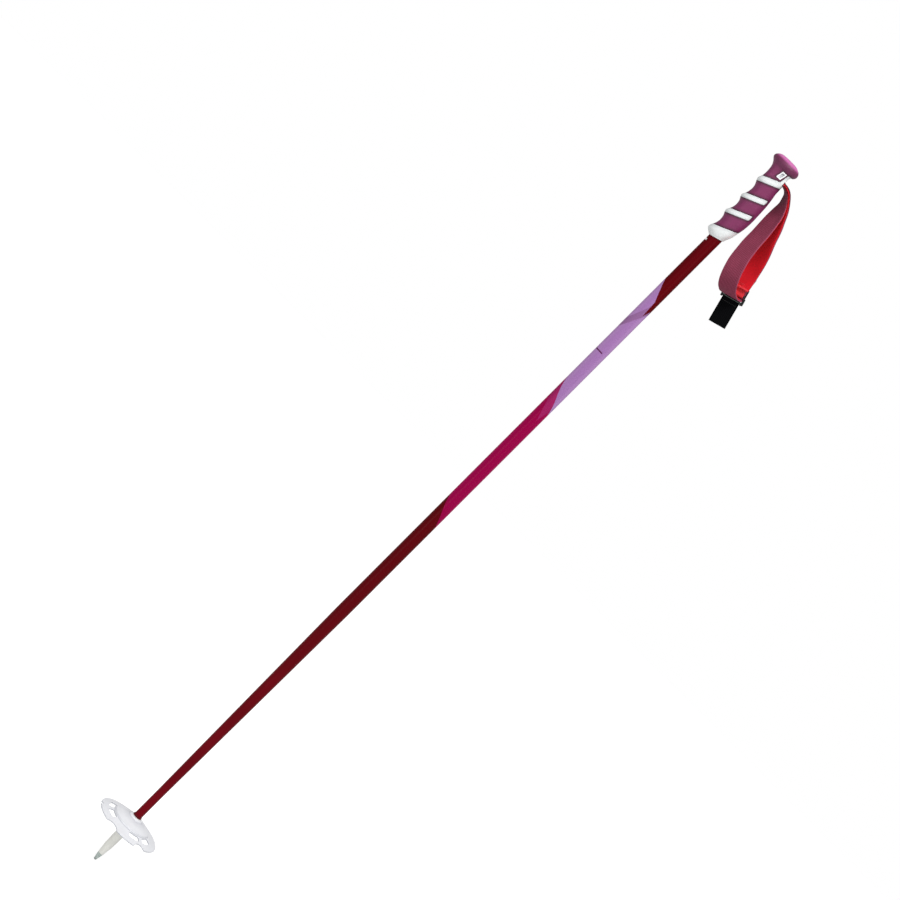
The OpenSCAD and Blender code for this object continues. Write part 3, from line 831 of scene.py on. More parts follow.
# rows of [height, value]: FRONT and REAR are depths from the axis, SIDE and LEAN are shares of
# HANDLE_HALF and SLOPE, and SQUARE is the outline's power, where 1 is an ellipse
FRONT = [[1031.7, 8.9], [1034, 11], [1036.9, 13.3], [1041, 15.3], [1044.3, 15], [1046.4, 13.7],
         [1049, 12.2], [1054, 11.2], [1058.5, 11.6], [1062.5, 12.8], [1065.3, 14], [1068.5, 14.6],
         [1071.7, 12.6], [1074, 11.3], [1079, 10.5], [1083.5, 11.1], [1087, 12.3], [1089.4, 13.5],
         [1092.5, 14.2], [1095.8, 12.2], [1098.5, 11.1], [1104, 10.5], [1108.5, 11.2], [1112, 12.5],
         [1114, 13.4], [1118.5, 14.6], [1123.4, 12.6], [1127, 12.2], [1131, 12.5], [1134, 13.4],
         [1137, 15.5], [1139, 17.3], [1140.6, 18.7], [1142, 19.3], [1143.4, 19.4], [1145.4, 18.4],
         [1147.4, 16.5], [1148.8, 14], [1149.6, 11], [1150, 6]]
REAR = [[1031.7, 8.9], [1034.7, 10.2], [1039.7, 12.9], [1046.4, 14.5], [1049.5, 15.3], [1057.4, 16.4],
        [1065.6, 16.7], [1074, 16.4], [1088, 15.7], [1099.7, 14.3], [1107.3, 13.1], [1114, 12.8],
        [1123.4, 11.9], [1131, 11.3], [1136, 12.2], [1137.6, 14.6], [1139, 15.8], [1141.4, 16.7],
        [1143.8, 16.4], [1146.5, 14.7], [1148.6, 11], [1149.6, 8], [1150, 4.5]]
SIDE = [[1031.7, 0.69], [1036, 0.86], [1041, 0.96], [1046.4, 1], [1070, 1.01], [1100, 0.98],
        [1123.4, 0.97], [1131, 0.97], [1136, 1.05], [1139, 1.18], [1142.4, 1.26], [1145.4, 1.18],
        [1147.6, 1.03], [1149.2, 0.8], [1150, 0.4]]
LEAN = [[1031.7, 0.62], [1046.4, 1], [1123.4, 1], [1138, 0], [1150, 0]]
SQUARE = [[1031.7, 0.92], [1060, 0.92], [1112, 0.85], [1122, 0.55], [1133, 0.58], [1141, 0.95],
          [1150, 0.95]]
BAND_END, END_ROUND, SPINE_LINE = 12.6, 1.1, ((1115.4, 5.0), (1136.8, 8.8))
LIP_DEEP, LIP_WIDE = 0.3, 0.6
SIGN_MID, SIGN_HALF, SIGN_LEAN = (2.8, 1131.4), (3.1, 4.6), math.tan(math.radians(12.5))
BORE_STEP, BORE_GAP, SEAT_GAP, SLEEVE_GAP, SLOT_HALF = 1038, 0.03, 0.05, 0.05, 9.4


def grip_point(turn, height, inset):
    """A point on the grip; turn is its direction from the palm side, in radians, and height its level."""
    power = pchip(SQUARE, height)
    c, s = np.cos(turn), np.sin(turn)
    angle = np.arctan2(np.abs(s) ** (1 / power), np.abs(c) ** (1 / power))
    depth = np.where(c < 0, pchip(FRONT, height), pchip(REAR, height)) - inset
    x = depth * np.sign(c) * np.cos(angle) ** power
    y = (HANDLE_HALF * pchip(SIDE, height) - inset) * np.sign(s) * np.sin(angle) ** power
    return np.stack([x, y, height + x * SLOPE * pchip(LEAN, height)], axis=-1)


def border_x(height):
    """Where, towards the palm, the white of the bands ends and the white of the spine starts."""
    x = np.full_like(height, BAND_END)
    for low, high in (BAND_2, BAND_3):
        half, off = (high - low) / 2, np.abs(height - (low + high) / 2)
        into = np.clip((off - (half - END_ROUND)) / END_ROUND, 0, 1)
        fade = np.clip((off - half) / 4, 0, 1)
        x -= END_ROUND * (1 - np.sqrt(1 - into**2)) * (1 - fade) * (off < half + 4)
    (z0, x0), (z1, x1) = SPINE_LINE
    lean = SLOPE * pchip(LEAN, height)
    k = (x1 - x0) / (z1 - z0)
    spine = (x0 + (height - z0) * k) / (1 - k * lean)
    into = np.clip((height - (SPINE_TOP - 1.6)) / 1.6, 0, 1)
    spine = spine + 1.6 * (1 - np.sqrt(1 - into**2)) * (height <= SPINE_TOP + 0.01)
    share = np.clip((height - BAND_1[0]) / (BAND_1[1] - BAND_1[0]), 0, 1)
    x = x * (1 - share) + spine * share
    return np.minimum(x, 0.86 * pchip(REAR, height))


def border_turn(height):
    """The direction in which border_x is met on the grip's surface."""
    power, depth = pchip(SQUARE, height), pchip(REAR, height)
    angle = np.arccos(np.clip(border_x(height) / depth, 0, 1) ** (1 / power))
    return np.arctan2(np.sin(angle) ** power, np.cos(angle) ** power)


def grip_levels():
    edges = [COLLAR[1], *BAND_3, *BAND_2, *BAND_1, SPINE_TOP]
    levels = set(np.round(np.arange(COLLAR[0], GRIP_TOP, 0.9), 3))
    levels -= {v for v in levels for e in edges if abs(v - e) < 0.75}
    levels |= {round(e + d, 3) for e in edges for d in (-0.6, -0.4, -0.22, -0.08, 0, 0.08, 0.22, 0.4, 0.6)}
    levels |= {1142.7, 1147.9, 1148.4, 1148.8, 1149.1, 1149.35, 1149.55, 1149.7, 1149.82, 1149.92, 1150.0}
    return np.array(sorted(levels))


def grip_columns(heights):
    """Directions of all columns at each level; two of them run along the colour border."""
    border = border_turn(heights)[:, None]
    close = [s * (1 - o) for s in (-1, 1) for o in (0.012, 0.03, 0.05)]
    behind = np.unique(np.concatenate([np.linspace(-1, 1, 37), close]))
    close = [0.0018, 0.0044, 0.0075, 0.9982, 0.9956, 0.9925]
    ahead = np.unique(np.concatenate([np.linspace(0, 1, 117), close]))[1:-1]
    round_front = border + ahead[None, :] * (2 * math.pi - 2 * border)
    return np.concatenate([behind[None, :] * border, round_front], axis=1), len(behind)


LEVELS = grip_levels()
TURNS, BEHIND = grip_columns(LEVELS)
HEIGHTS = np.repeat(LEVELS[:, None], TURNS.shape[1], axis=1)


def gap(out, over):
    """Distance from a box that is passed by out one way and by over the other, negative inside it."""
    apart = np.hypot(np.maximum(out, 0), np.maximum(over, 0))
    return np.where((out > 0) | (over > 0), apart, np.maximum(out, over))


def seam_distance():
    """Distance of each grid point from the nearest joint between white and purple, in mm."""
    x = grip_point(TURNS, HEIGHTS, 0)[..., 0]
    past = (border_x(LEVELS)[:, None] - x) * 1.4
    found = np.minimum(np.abs(HEIGHTS - COLLAR[1]), np.abs(HEIGHTS - BAND_1[0]))
    for low, high in (BAND_2, BAND_3):
        over = np.abs(HEIGHTS - (low + high) / 2) - (high - low) / 2
        found = np.minimum(found, np.abs(gap(-past, over)))
    found = np.minimum(found, np.hypot(np.maximum(-past, 0), HEIGHTS - BAND_1[1]))
    spine = np.abs(gap(past, HEIGHTS - SPINE_TOP))
    return np.minimum(found, np.where(HEIGHTS > BAND_1[1] - 0.01, spine, 9))


SEAMS = seam_distance()
LIPS = LIP_DEEP * np.clip(1 - SEAMS / LIP_WIDE, 0, 1) ** 2
SHADE = np.exp(-((SEAMS / 2.3) ** 2))


def cell_kinds():
    """For each cell of the grid: 0 white, 1 soft sleeve, 2 soft head."""
    mid = (LEVELS[1:] + LEVELS[:-1]) / 2
    behind = np.arange(TURNS.shape[1]) < BEHIND - 1
    kinds = np.zeros((len(mid), TURNS.shape[1]), int)
    for j, h in enumerate(mid):
        if COLLAR[1] < h < BAND_1[0]:
            in_band = any(low < h < high for low, high in (BAND_2, BAND_3))
            kinds[j] = np.where(behind, 1, 0 if in_band else 1)
        elif h > BAND_1[1]:
            kinds[j] = np.where(behind & (h < SPINE_TOP), 0, 2)
    return kinds


KINDS = cell_kinds()


def built_from_used(name, points, faces, material, marks):
    """A piece from faces that use only some of the points."""
    used = np.unique(np.array([p for f in faces for p in f]))
    index = np.full(len(points), -1)
    index[used] = np.arange(len(used))
    return built(name, points[used], [tuple(index[list(f)]) for f in faces], material, edge=marks[used])


def grip_shell(name, chosen, outer, inner, material, dark):
    """A closed shell over the chosen cells, with a wall wherever a cell's neighbour is left out."""
    rows, cols = outer.shape[:2]
    points = np.concatenate([outer.reshape(-1, 3), inner.reshape(-1, 3)])
    shift, faces = rows * cols, []
    for cell, (a, b, c, d) in enumerate(cells(rows, cols)):
        j, i = divmod(cell, cols)
        if not chosen[j, i]:
            continue
        faces.append((a, b, c, d))
        faces.append((d + shift, c + shift, b + shift, a + shift))
        if j == 0 or not chosen[j - 1, i]:
            faces.append((b, a, a + shift, b + shift))
        if j == rows - 2 or not chosen[j + 1, i]:
            faces.append((d, c, c + shift, d + shift))
        if not chosen[j, i - 1]:
            faces.append((a, d, d + shift, a + shift))
        if not chosen[j, (i + 1) % cols]:
            faces.append((c, b, b + shift, c + shift))
    return built_from_used(name, points, faces, material, np.concatenate([dark.ravel(), dark.ravel()]))


def block(name, low, high):
    """A plain closed cutter between two corners, in mm."""
    (x0, y0, z0), (x1, y1, z1) = low, high
    ring = [(x0, y0), (x1, y0), (x1, y1), (x0, y1)]
    points, faces = stacked([[(x, y, z) for x, y in ring] for z in (z0, z1)])
    return built(name, points, faces, WHITE)


def prism(name, outline, y0, y1):
    """A closed cutter of an outline drawn in x and z, between two places along y."""
    points, faces = stacked([[(x, y, z) for x, z in outline] for y in (y0, y1)])
    return built(name, points, faces, WHITE)


outer_skin = grip_point(TURNS, HEIGHTS, LIPS)
under_skin = grip_point(TURNS, HEIGHTS, SOFT_WALL)

sleeve = grip_shell("grip_overmould", KINDS == 1, outer_skin, under_skin, SOFT, SHADE)

# the head is closed at the top by drawing its last level in to a point
head_in = under_skin.copy()
head_in[..., 2] = np.minimum(head_in[..., 2], GRIP_TOP - SOFT_WALL)
summit = np.array([0.6, 0.0, GRIP_TOP + 0.05])
levels_out = [outer_skin] + [outer_skin[-1:] * (1 - t) + summit * t for t in (0.5, 1.0)]
levels_in = [head_in] + [head_in[-1:] * (1 - t) + (summit - [0, 0, SOFT_WALL]) * t for t in (0.5, 1.0)]

above = np.concatenate([KINDS == 2, np.ones((2, TURNS.shape[1]), bool)])
skin_x, skin_y, skin_z = np.moveaxis(outer_skin, -1, 0)
beside = np.abs(skin_x - SIGN_MID[0] - (skin_z - SIGN_MID[1]) * SIGN_LEAN) - SIGN_HALF[0]
from_sign = np.maximum(gap(beside, np.abs(skin_z - SIGN_MID[1]) - SIGN_HALF[1]), 0)
from_sign += 9 * (np.abs(skin_y) < 6)
SHADE = np.maximum(SHADE, np.exp(-((from_sign / 1.8) ** 2)))
dark = np.concatenate([SHADE, SHADE[-1:], SHADE[-1:]])
head = grip_shell("grip_head", above, np.concatenate(levels_out), np.concatenate(levels_in), SOFT, dark)


def leaning_box(out):
    """The window's leaning outline in x and z, out mm larger all round."""
    half_w, half_h = SIGN_HALF[0] + out, SIGN_HALF[1] + out
    corners = [
        (x * half_w + z * half_h * SIGN_LEAN, z * half_h) for x, z in ((-1, -1), (1, -1), (1, 1), (-1, 1))
    ]
    return rounded(corners, max(0.9 + out, 0.25), steps=6) + SIGN_MID


for side in (-1, 1):
    cut(head, prism("window_cutter", leaning_box(0.02), side * 8.0, side * 20.0))
finished(head, SOFT)


def core_shell():
    """The white body: its own surface where it shows, under the soft parts elsewhere, and a bore."""
    rows, cols = int(np.searchsorted(LEVELS, SPINE_TOP)) + 1, TURNS.shape[1]
    white = KINDS[: rows - 1] == 0
    under = grip_point(TURNS[:rows], HEIGHTS[:rows], SOFT_WALL + SLEEVE_GAP)
    wide = np.where(HEIGHTS[:rows] < BORE_STEP, TUBE_R + BORE_GAP, SEAT_R + SEAT_GAP)
    bore_x = wide * np.cos(TURNS[:rows])
    bore_z = HEIGHTS[:rows] + bore_x * SLOPE * pchip(LEAN, HEIGHTS[:rows])
    bore = np.stack([bore_x, wide * np.sin(TURNS[:rows]), bore_z], axis=-1)
    points = np.concatenate([skin.reshape(-1, 3) for skin in (outer_skin[:rows], under, bore)])
    size, faces = rows * cols, []
    for cell, (a, b, c, d) in enumerate(cells(rows, cols)):
        j, i = divmod(cell, cols)
        up = 0 if white[j, i] else size
        faces.append((a + up, b + up, c + up, d + up))
        faces.append((d + 2 * size, c + 2 * size, b + 2 * size, a + 2 * size))
        if j > 0 and white[j, i] != white[j - 1, i]:
            faces.append((a, b, b + size, a + size))
        if white[j, i] != white[j, i - 1]:
            faces.append((a, d, d + size, a + size))
    for i in range(cols):
        k = (i + 1) % cols
        low, last = 0 if white[0, i] else size, (rows - 1) * cols
        faces.append((k + low, i + low, i + 2 * size, k + 2 * size))
        up = 0 if white[rows - 2, i] else size
        faces.append((last + i + up, last + k + up, last + k + 2 * size, last + i + 2 * size))
        if white[rows - 2, i] != white[rows - 2, i - 1]:
            faces.append((last + i, last + i + size, last + i + 2 * size))
    marks = np.concatenate([(SHADE[:rows] * 0.55).ravel(), np.zeros(2 * size)])
    return built_from_used("grip_body", points, faces, WHITE, marks)


core = core_shell()
cut(core, block("cavity_cutter", (-4.5, -SLOT_HALF, 1121.6), (9.2, SLOT_HALF, 1137.5)))
cut(core, block("slot_cutter", (0, -SLOT_HALF, 1123.3), (30, SLOT_HALF, 1130.9)))
finished(core, WHITE)


def side_y(x, z):
    """Half width of the grip at a place in its neck."""
    power = pchip(SQUARE, z)
    depth = np.where(x < 0, pchip(FRONT, z), pchip(REAR, z))
    share = np.clip(np.abs(x) / depth, 0, 1) ** (2 / power)
    return HANDLE_HALF * pchip(SIDE, z) * (1 - share) ** (power / 2)


def anchor_head(side):
    """The framed head of the anchor in one window: a raised frame round a sunk slit."""
    steps = [(0.0, -2.2), (0.0, -0.1), (-0.03, 0.08), (-0.12, 0.2), (-0.3, 0.26), (-1.3, 0.26), (-1.5, 0.2),
             (-1.6, 0.05), (-1.66, -0.25), (-1.7, -1.25)]
    rings, marks = [], []
    for out, rise in steps:
        outline = leaning_box(out)
        # painted shade inside the sunk slit
        marks += [1.0 if out < -1.55 else 0.0] * len(outline)
        level = outline[:, 1] - outline[:, 0] * SLOPE * 0.45
        rings.append([(x, side * (side_y(x, h) + rise), z) for (x, z), h in zip(outline, level)])
    points, faces = stacked(rings)
    return built(f"anchor_head_{side}", points, faces, PALE, edge=marks)


PIN_X, PIN_Z, PIN_R, PIN_HALF = 2.4, 1129.6, 2.4, 10.6
ring_turns = np.linspace(0, 2 * math.pi, 48, endpoint=False)
pin_rings = [
    [(PIN_X + PIN_R * math.cos(a), y, PIN_Z + PIN_R * math.sin(a)) for a in ring_turns]
    for y in (-PIN_HALF, PIN_HALF)
]
pin = built("anchor_pin", *stacked(pin_rings), PALE)
anchor = joined("strap_pin", pin, anchor_head(-1), anchor_head(1))


# ---- wrist strap ----

WEB, LINING, LAYER_GAP = 1.4, 1.15, 0.05
# rows of a leg's middle x, y and z, its turn and tilt in degrees, and its width
NEAR = [[15.1, 0, 1124.6, 0, 0, 18], [21.9, -0.2, 1119.8, 12, 0, 20.5],
        [26.7, -0.6, 1111.2, 21, 0, 22.4], [29.4, -1.4, 1102, 33, 0, 23.6],
        [31.1, -3.2, 1088.2, 44, 0, 23.6], [32.2, -6.3, 1070, 49, 2, 23.6],
        [33.2, -10.7, 1052.2, 53, 5, 23.6], [35.8, -15, 1033.2, 60, 9, 23.6],
        [40.8, -17, 1015.6, 67, 12, 23.6], [47.5, -10.5, 1002.9, 73, 14, 23.6],
        [54.4, 2, 997.7, 80, 15, 23.6], [59.3, 12, 997.9, 88, 15, 23.6],
        [60.6, 18.5, 999.4, 90, 15, 23.6], [60.4, 22.6, 1001.7, 90, 15, 23.6],
        [59.1, 23.8, 1007.3, 90, 14, 23.6], [57.1, 24.2, 1016.3, 82, 10, 23.6],
        [55.9, 24.4, 1028.3, 74, 6, 23.6]]
FAR = [[15.1, 0, 1127, 0, 0, 18], [21.4, 0.1, 1124, 7, 0, 20.5], [27.9, 0.5, 1115.3, 16, 0, 22.4],
       [33.9, 1.3, 1102.2, 27, 0, 23.6], [39.2, 3.2, 1088.4, 36, 0, 23.6],
       [44.6, 6.3, 1070.2, 45, 2, 23.6], [50, 10.2, 1052.2, 55, 5, 23.6],
       [53.8, 12.9, 1034.4, 69, 9, 23.6], [56, 13.7, 1021.8, 82, 13, 23.6],
       [57.9, 13.9, 1011.2, 90, 15, 23.6]]
NEAR_LINED, LEG_START = 11, 0.35
MOUTH, MOUTH_HALF = (11.6, 1126.2), 2.6
ROOT_X, ROOT_HALF, LINING_HALF = 9.4, 9.0, 8.7


def unit(v):
    return v / np.linalg.norm(v, axis=-1, keepdims=True)


def along(rows, t):
    """A smooth line through the rows, at row t."""
    rows = np.asarray(rows, float)
    last = len(rows) - 1
    i = min(int(t), last - 1)
    a, b, c, d = rows[max(i - 1, 0)], rows[i], rows[i + 1], rows[min(i + 2, last)]
    u = t - i
    return 0.5 * (2 * b + (c - a) * u + (2 * a - 5 * b + 4 * c - d) * u**2 + (3 * b - a - 3 * c + d) * u**3)


def leg_key(rows, t, offset, trim, phase):
    """Middle, across direction and half width of a layer of one leg, offset mm along its outward side."""
    last = len(rows) - 1
    row = along(rows, t)
    heading = unit(along(rows, min(t + 0.02, last))[:3] - along(rows, max(t - 0.02, 0))[:3])
    turn, tilt = math.radians(row[3]), math.radians(row[4])
    flat = np.array([math.sin(turn) * math.cos(tilt), -math.cos(turn) * math.cos(tilt), math.sin(tilt)])
    across = unit(flat - heading * (flat @ heading))
    out = np.cross(heading, across)
    free = min(max((t - 1.5) / 1.5, 0), 1) * min(max((8.6 - t) / 1.6, 0), 1)
    waver = free * (0.28 * math.sin(1.7 * t + phase) + 0.16 * math.sin(3.9 * t + 2 * phase))
    half = row[5] / 2 - trim + free * 0.09 * math.sin(5.1 * t + phase + offset)
    return [*(row[:3] + out * (offset + waver)), *across, half]


def leg_keys(rows, end, offset, trim, phase):
    stations = np.arange(LEG_START, end + 0.001, 0.4)
    stations[-1] = end
    return [leg_key(rows, t, offset, trim, phase) for t in stations]


def through(keys, spacing):
    """Even sections along a smooth line through uneven ones."""
    keys = np.asarray(keys, float)
    gaps = np.linalg.norm(np.diff(keys[:, :3], axis=0), axis=1)
    place = np.concatenate([[0], np.cumsum(gaps)])
    slopes = np.diff(keys, axis=0) / gaps[:, None]
    middle = (slopes[:-1] * gaps[1:, None] + slopes[1:] * gaps[:-1, None]) / (gaps[1:] + gaps[:-1])[:, None]
    at_key = np.concatenate([slopes[:1], middle, slopes[-1:]])
    at = np.linspace(0, place[-1], int(place[-1] / spacing) + 2)
    i = np.clip(np.searchsorted(place, at, side="right") - 1, 0, len(gaps) - 1)
    h, t = gaps[i][:, None], ((at - place[i]) / gaps[i])[:, None]
    return hermite(t, h, keys[i], at_key[i], keys[i + 1], at_key[i + 1])


def band(name, keys, thick, material, spacing=1.0, belly=0.0, painted_shade_at=None):
    """A woven band with round edges along a line of keys, each a middle, an across and a half width.

    It takes painted shade round a place in x and z, where it has one. Its flat width and length come with it.
    """
    sections = through(keys, spacing)
    middle, across, half = sections[:, :3], sections[:, 3:6], sections[:, 6]
    heading = unit(np.gradient(middle, axis=0))
    across = unit(across - heading * np.sum(across * heading, axis=1, keepdims=True))
    out = np.cross(heading, across)
    run = np.concatenate([[0], np.cumsum(np.linalg.norm(np.diff(middle, axis=0), axis=1))])
    edge = thick * 0.42
    arc = np.radians(np.linspace(90, -90, 7))
    flat = np.linspace(-1, 1, 17)
    ring = [(u, 0.0, 1.0) for u in flat] + [(1, edge * math.cos(a), math.sin(a)) for a in arc[1:-1]]
    ring += [(-u, -v, -w) for u, v, w in ring]
    ring = np.array(ring)
    side = ring[None, :, 0] * (half[:, None] - edge) + ring[None, :, 1]
    fullness = 1 + belly * (1 - ring[None, :, 0] ** 2) - 0.12 * ring[None, :, 0] ** 6
    lift = ring[None, :, 2] * thick / 2 * fullness
    points = middle[:, None] + side[..., None] * across[:, None] + lift[..., None] * out[:, None]
    cloth = np.stack([side, np.broadcast_to(run[:, None], side.shape)], axis=-1).reshape(-1, 2)
    marks = None
    # painted shade, strongest at the given place and fading over about 17 mm
    if painted_shade_at:
        reach = np.hypot(points[..., 0] - painted_shade_at[0], points[..., 2] - painted_shade_at[1])
        marks = (0.9 * np.exp(-((reach / 17) ** 2))).ravel()
    points, faces = stacked(points)
    made = built(name, points, faces, material, cloth, math.radians(60), weld=0, edge=marks)
    return made, (2 * float(half.max()) * MM, float(run[-1]) * MM)


def root_key(x, z, half):
    return [x, 0, z, 0, -1, 0, half]


def tangent_turn(x, z, radius, side):
    """Where, round the pin, a straight line from a place meets a circle."""
    dx, dz = x - PIN_X, z - PIN_Z
    return math.atan2(dz, dx) + side * math.acos(radius / math.hypot(dx, dz))


LOOP_R = PIN_R + LAYER_GAP + LINING + WEB / 2
web_high, web_low = MOUTH[1] + MOUTH_HALF - WEB / 2, MOUTH[1] - MOUTH_HALF + WEB / 2
turn_top = tangent_turn(MOUTH[0], web_high, LOOP_R, 1)
turn_low = tangent_turn(MOUTH[0], web_low, LOOP_R, -1) + 2 * math.pi
round_pin = [
    root_key(PIN_X + LOOP_R * math.cos(a), PIN_Z + LOOP_R * math.sin(a), ROOT_HALF)
    for a in np.linspace(turn_top, turn_low, 9)
]
web_keys = leg_keys(FAR, len(FAR) - 1, -LAYER_GAP - WEB / 2, 0, 0.4)[::-1]
web_keys += [root_key(MOUTH[0], web_high, ROOT_HALF)] + round_pin + [root_key(MOUTH[0], web_low, ROOT_HALF)]
web_keys += leg_keys(NEAR, len(NEAR) - 1, LAYER_GAP + WEB / 2, 0, 2.1)
# the webbing and the near lining take painted shade where they leave the grip's slot
webbing, webbing_flat = band("strap_band", web_keys, WEB, MAUVE, painted_shade_at=(15, 1121))

near_keys = [root_key(x, web_low + (WEB + LINING) / 2, LINING_HALF) for x in (ROOT_X, MOUTH[0])]
near_keys += leg_keys(NEAR, NEAR_LINED, -LAYER_GAP - LINING / 2, 0.8, 2.1)
near_lining, near_flat = band("lining_near", near_keys, LINING, RED, belly=0.08, painted_shade_at=(18, 1119))
far_keys = [root_key(x, web_high - (WEB + LINING) / 2, LINING_HALF) for x in (ROOT_X, MOUTH[0])]
far_keys += leg_keys(FAR, len(FAR) - 1, LAYER_GAP + LINING / 2, 0.3, 0.4)
far_lining, far_flat = band("lining_far", far_keys, LINING, RED, belly=0.08)


# ---- slider, end loop and pull tab, drawn in the slider's own plane ----

SLIDER_MID, SLIDER_TURN = (59.57, 18.5, 1002.96), math.radians(15)
BAR_R, BAR_LENGTH, PITCH = 1.25, 25.8, 8.5
turn_cos, turn_sin = math.cos(SLIDER_TURN), math.sin(SLIDER_TURN)
slider_axes = facing(
    (turn_cos, 0, turn_sin), (-turn_sin, 0, turn_cos), (0, -1, 0), [v * MM for v in SLIDER_MID]
)


def in_slider(thing):
    """Moves a piece drawn with x along the bars, y up the ring and z to the front into its place."""
    thing.data.transform(slider_axes)
    thing.data.update()
    return thing


def bevelled_box(name, low, high, bevel, material):
    thing = block(name, low, high)
    modifier = thing.modifiers.new("bevel", "BEVEL")
    modifier.width, modifier.segments, modifier.limit_method = bevel * MM, 4, "NONE"
    return settled(thing, material, math.radians(50))


def bar(name, y, radius, length, material, start=0.0, front=0.0):
    """A slightly flattened bar along x with soft ends; start and front are its middle in x and z."""
    turns = np.linspace(0, 2 * math.pi, 32, endpoint=False)
    c, s = np.cos(turns), np.sin(turns)
    u, v = np.sign(c) * np.abs(c) ** 0.8, np.sign(s) * np.abs(s) ** 0.8
    ends = [(-0.5, 0.7), (-0.5 + 0.2 / length, 0.88), (-0.5 + 0.6 / length, 1.0)]
    ends += [(-a, r) for a, r in reversed(ends)]
    rings = []
    for x, r in ends:
        rings.append([(start + x * length, y + a * radius * r, front + b * radius * r) for a, b in zip(u, v)])
    cloth = [(t * radius, x * length) for x, _ in ends for t in turns]
    return built(name, *stacked(rings), material, cloth)


rails = []
for name, x0, x1, low, high, deep, soft in (
    ("left_foot", -13.7, -11.3, -10.8, -3.0, 1.8, 0.8),
    ("left_rail", -13.2, -11.6, -5.0, 9.4, 1.3, 0.5),
    ("right_foot", 11.6, 14.6, -10.2, -1.5, 1.9, 0.9),
    ("right_rail", 11.9, 13.5, -5.0, 9.0, 1.3, 0.5),
):
    rails.append(bevelled_box(name, (x0, low, -deep), (x1, high, deep), soft, BLACK))
bars = [bar(f"bar_{row}", row * PITCH, BAR_R, BAR_LENGTH, BLACK) for row in (-1, 0, 1)]
shoulders = [bar(f"shoulder_{side}", -PITCH, 2.3, 1.6, BLACK, side * 11.8) for side in (-1, 1)]
slider = in_slider(joined("three_bar_slider", *rails, *bars, *shoulders))

TAPE_T, TAPE_HALF = 1.3, 10.0
fold_r = BAR_R + 0.08 + TAPE_T / 2
loop_line = [(PITCH + 6, fold_r), (PITCH + 3, fold_r), (PITCH, fold_r), (PITCH / 2, fold_r)]
loop_line += [(-fold_r * math.sin(a), fold_r * math.cos(a)) for a in np.radians(np.arange(0, 161, 20))]
loop_line += [(fold_r * 0.35, -fold_r * 0.96), (2.9, -1.1), (4.6, 0.1), (6.3, 0.62)]
loop_keys = [[0, y, z, 1, 0, 0, TAPE_HALF] for y, z in loop_line]
end_loop, loop_flat = band("end_tape", loop_keys, TAPE_T, TAPE, spacing=0.7, belly=0.05)
in_slider(end_loop)
hem = in_slider(bar("seam_hem", PITCH + 0.1, 1.55, 23.0, TAPE, 0.0, 4.8))

TAB_T, TAB_HALF, TAB_LENGTH, EYE_R = 1.15, 10.6, 33.2, 1.95
tab_places = np.concatenate([[-PITCH - TAB_LENGTH], np.linspace(-38.5, -15.5, 9)])


def tab_layer(side):
    return [(y, side * TAB_T * 0.53 + 0.8 * ((-13 - y) / 28.5) ** 2) for y in tab_places]


eye = [(-PITCH - EYE_R * math.cos(a), EYE_R * math.sin(a)) for a in np.radians(np.arange(60, 301, 20))]
tab_line = tab_layer(1) + [(-12.4, 1.02)] + eye + [(-12.4, -1.02)] + tab_layer(-1)[::-1]
tab_keys = [[0, y, z, 1, 0, 0, TAB_HALF] for y, z in tab_line]
pull_tab, tab_flat = band("black_tab", tab_keys, TAB_T, TAB, spacing=0.7)
in_slider(pull_tab)
# painted highlight: a pale grey bead along the top of the tab's fold stands in for the light caught on the
# slider's lower bar
bead = in_slider(bar("tab_highlight_bead", -PITCH + 0.6, 0.5, 2 * TAB_HALF, PAINTED_HIGHLIGHT_BEAD, front=2.46))


def stitch_tree():
    """A run of stitches: one short rounded thread on each point of the line it is given."""
    nodes, given = new_tree("Stitches", Length=0.0016, Thickness=0.0005, Waver=0.06, Seed=3)
    dots = nodes.node("GeometryNodeMeshToPoints", None, {"Mesh": given["Geometry"]})
    ball = nodes.node("GeometryNodeMeshUVSphere", None, {"Segments": 8, "Rings": 6, "Radius": 0.5})
    thick = given["Thickness"]
    size = nodes.node("ShaderNodeCombineXYZ", None, {"X": given["Length"], "Y": thick, "Z": thick})
    thread = nodes.node("GeometryNodeTransform", None, {"Geometry": ball, "Scale": size})
    low, high = 2, 3
    chance = {low: given["Waver"] * -1.0, high: given["Waver"], "Seed": given["Seed"]}
    chance = nodes.node("FunctionNodeRandomValue", {"data_type": "FLOAT"}, chance, 1)
    turn = nodes.node("ShaderNodeCombineXYZ", None, {"Z": chance})
    laid = {"Points": dots, "Instance": thread, "Rotation": turn}
    return ended(nodes, given, nodes.node("GeometryNodeInstanceOnPoints", None, laid))


STITCHES = stitch_tree()


def stitched(name, rows, count, pitch, thread, material, seed):
    """Rows of stitches along the bars, each row at a place up the ring and a height off it."""
    places = [((k - (count - 1) / 2) * pitch, y, z) for y, z in rows for k in range(count)]
    sizes = {"Length": pitch * 0.72 * MM, "Thickness": thread * MM, "Seed": seed}
    return in_slider(grown(STITCHES, name, places, [], material, **sizes))


seam_rows = [(PITCH + up, BAR_R + 4.76) for up in (3.4, 4.8)]
seam_thread = stitched("seam_thread", seam_rows, 9, 2.1, 0.6, RED_THREAD, 5)
tab_rows = [(-PITCH - 5, side * (TAB_T + 0.2) + 0.02) for side in (-1, 1)]
tab_thread = stitched("tab_thread", tab_rows, 9, 1.9, 0.5, BLACK_THREAD, 9)


# ---- what each piece moves with, and what it stands for ----

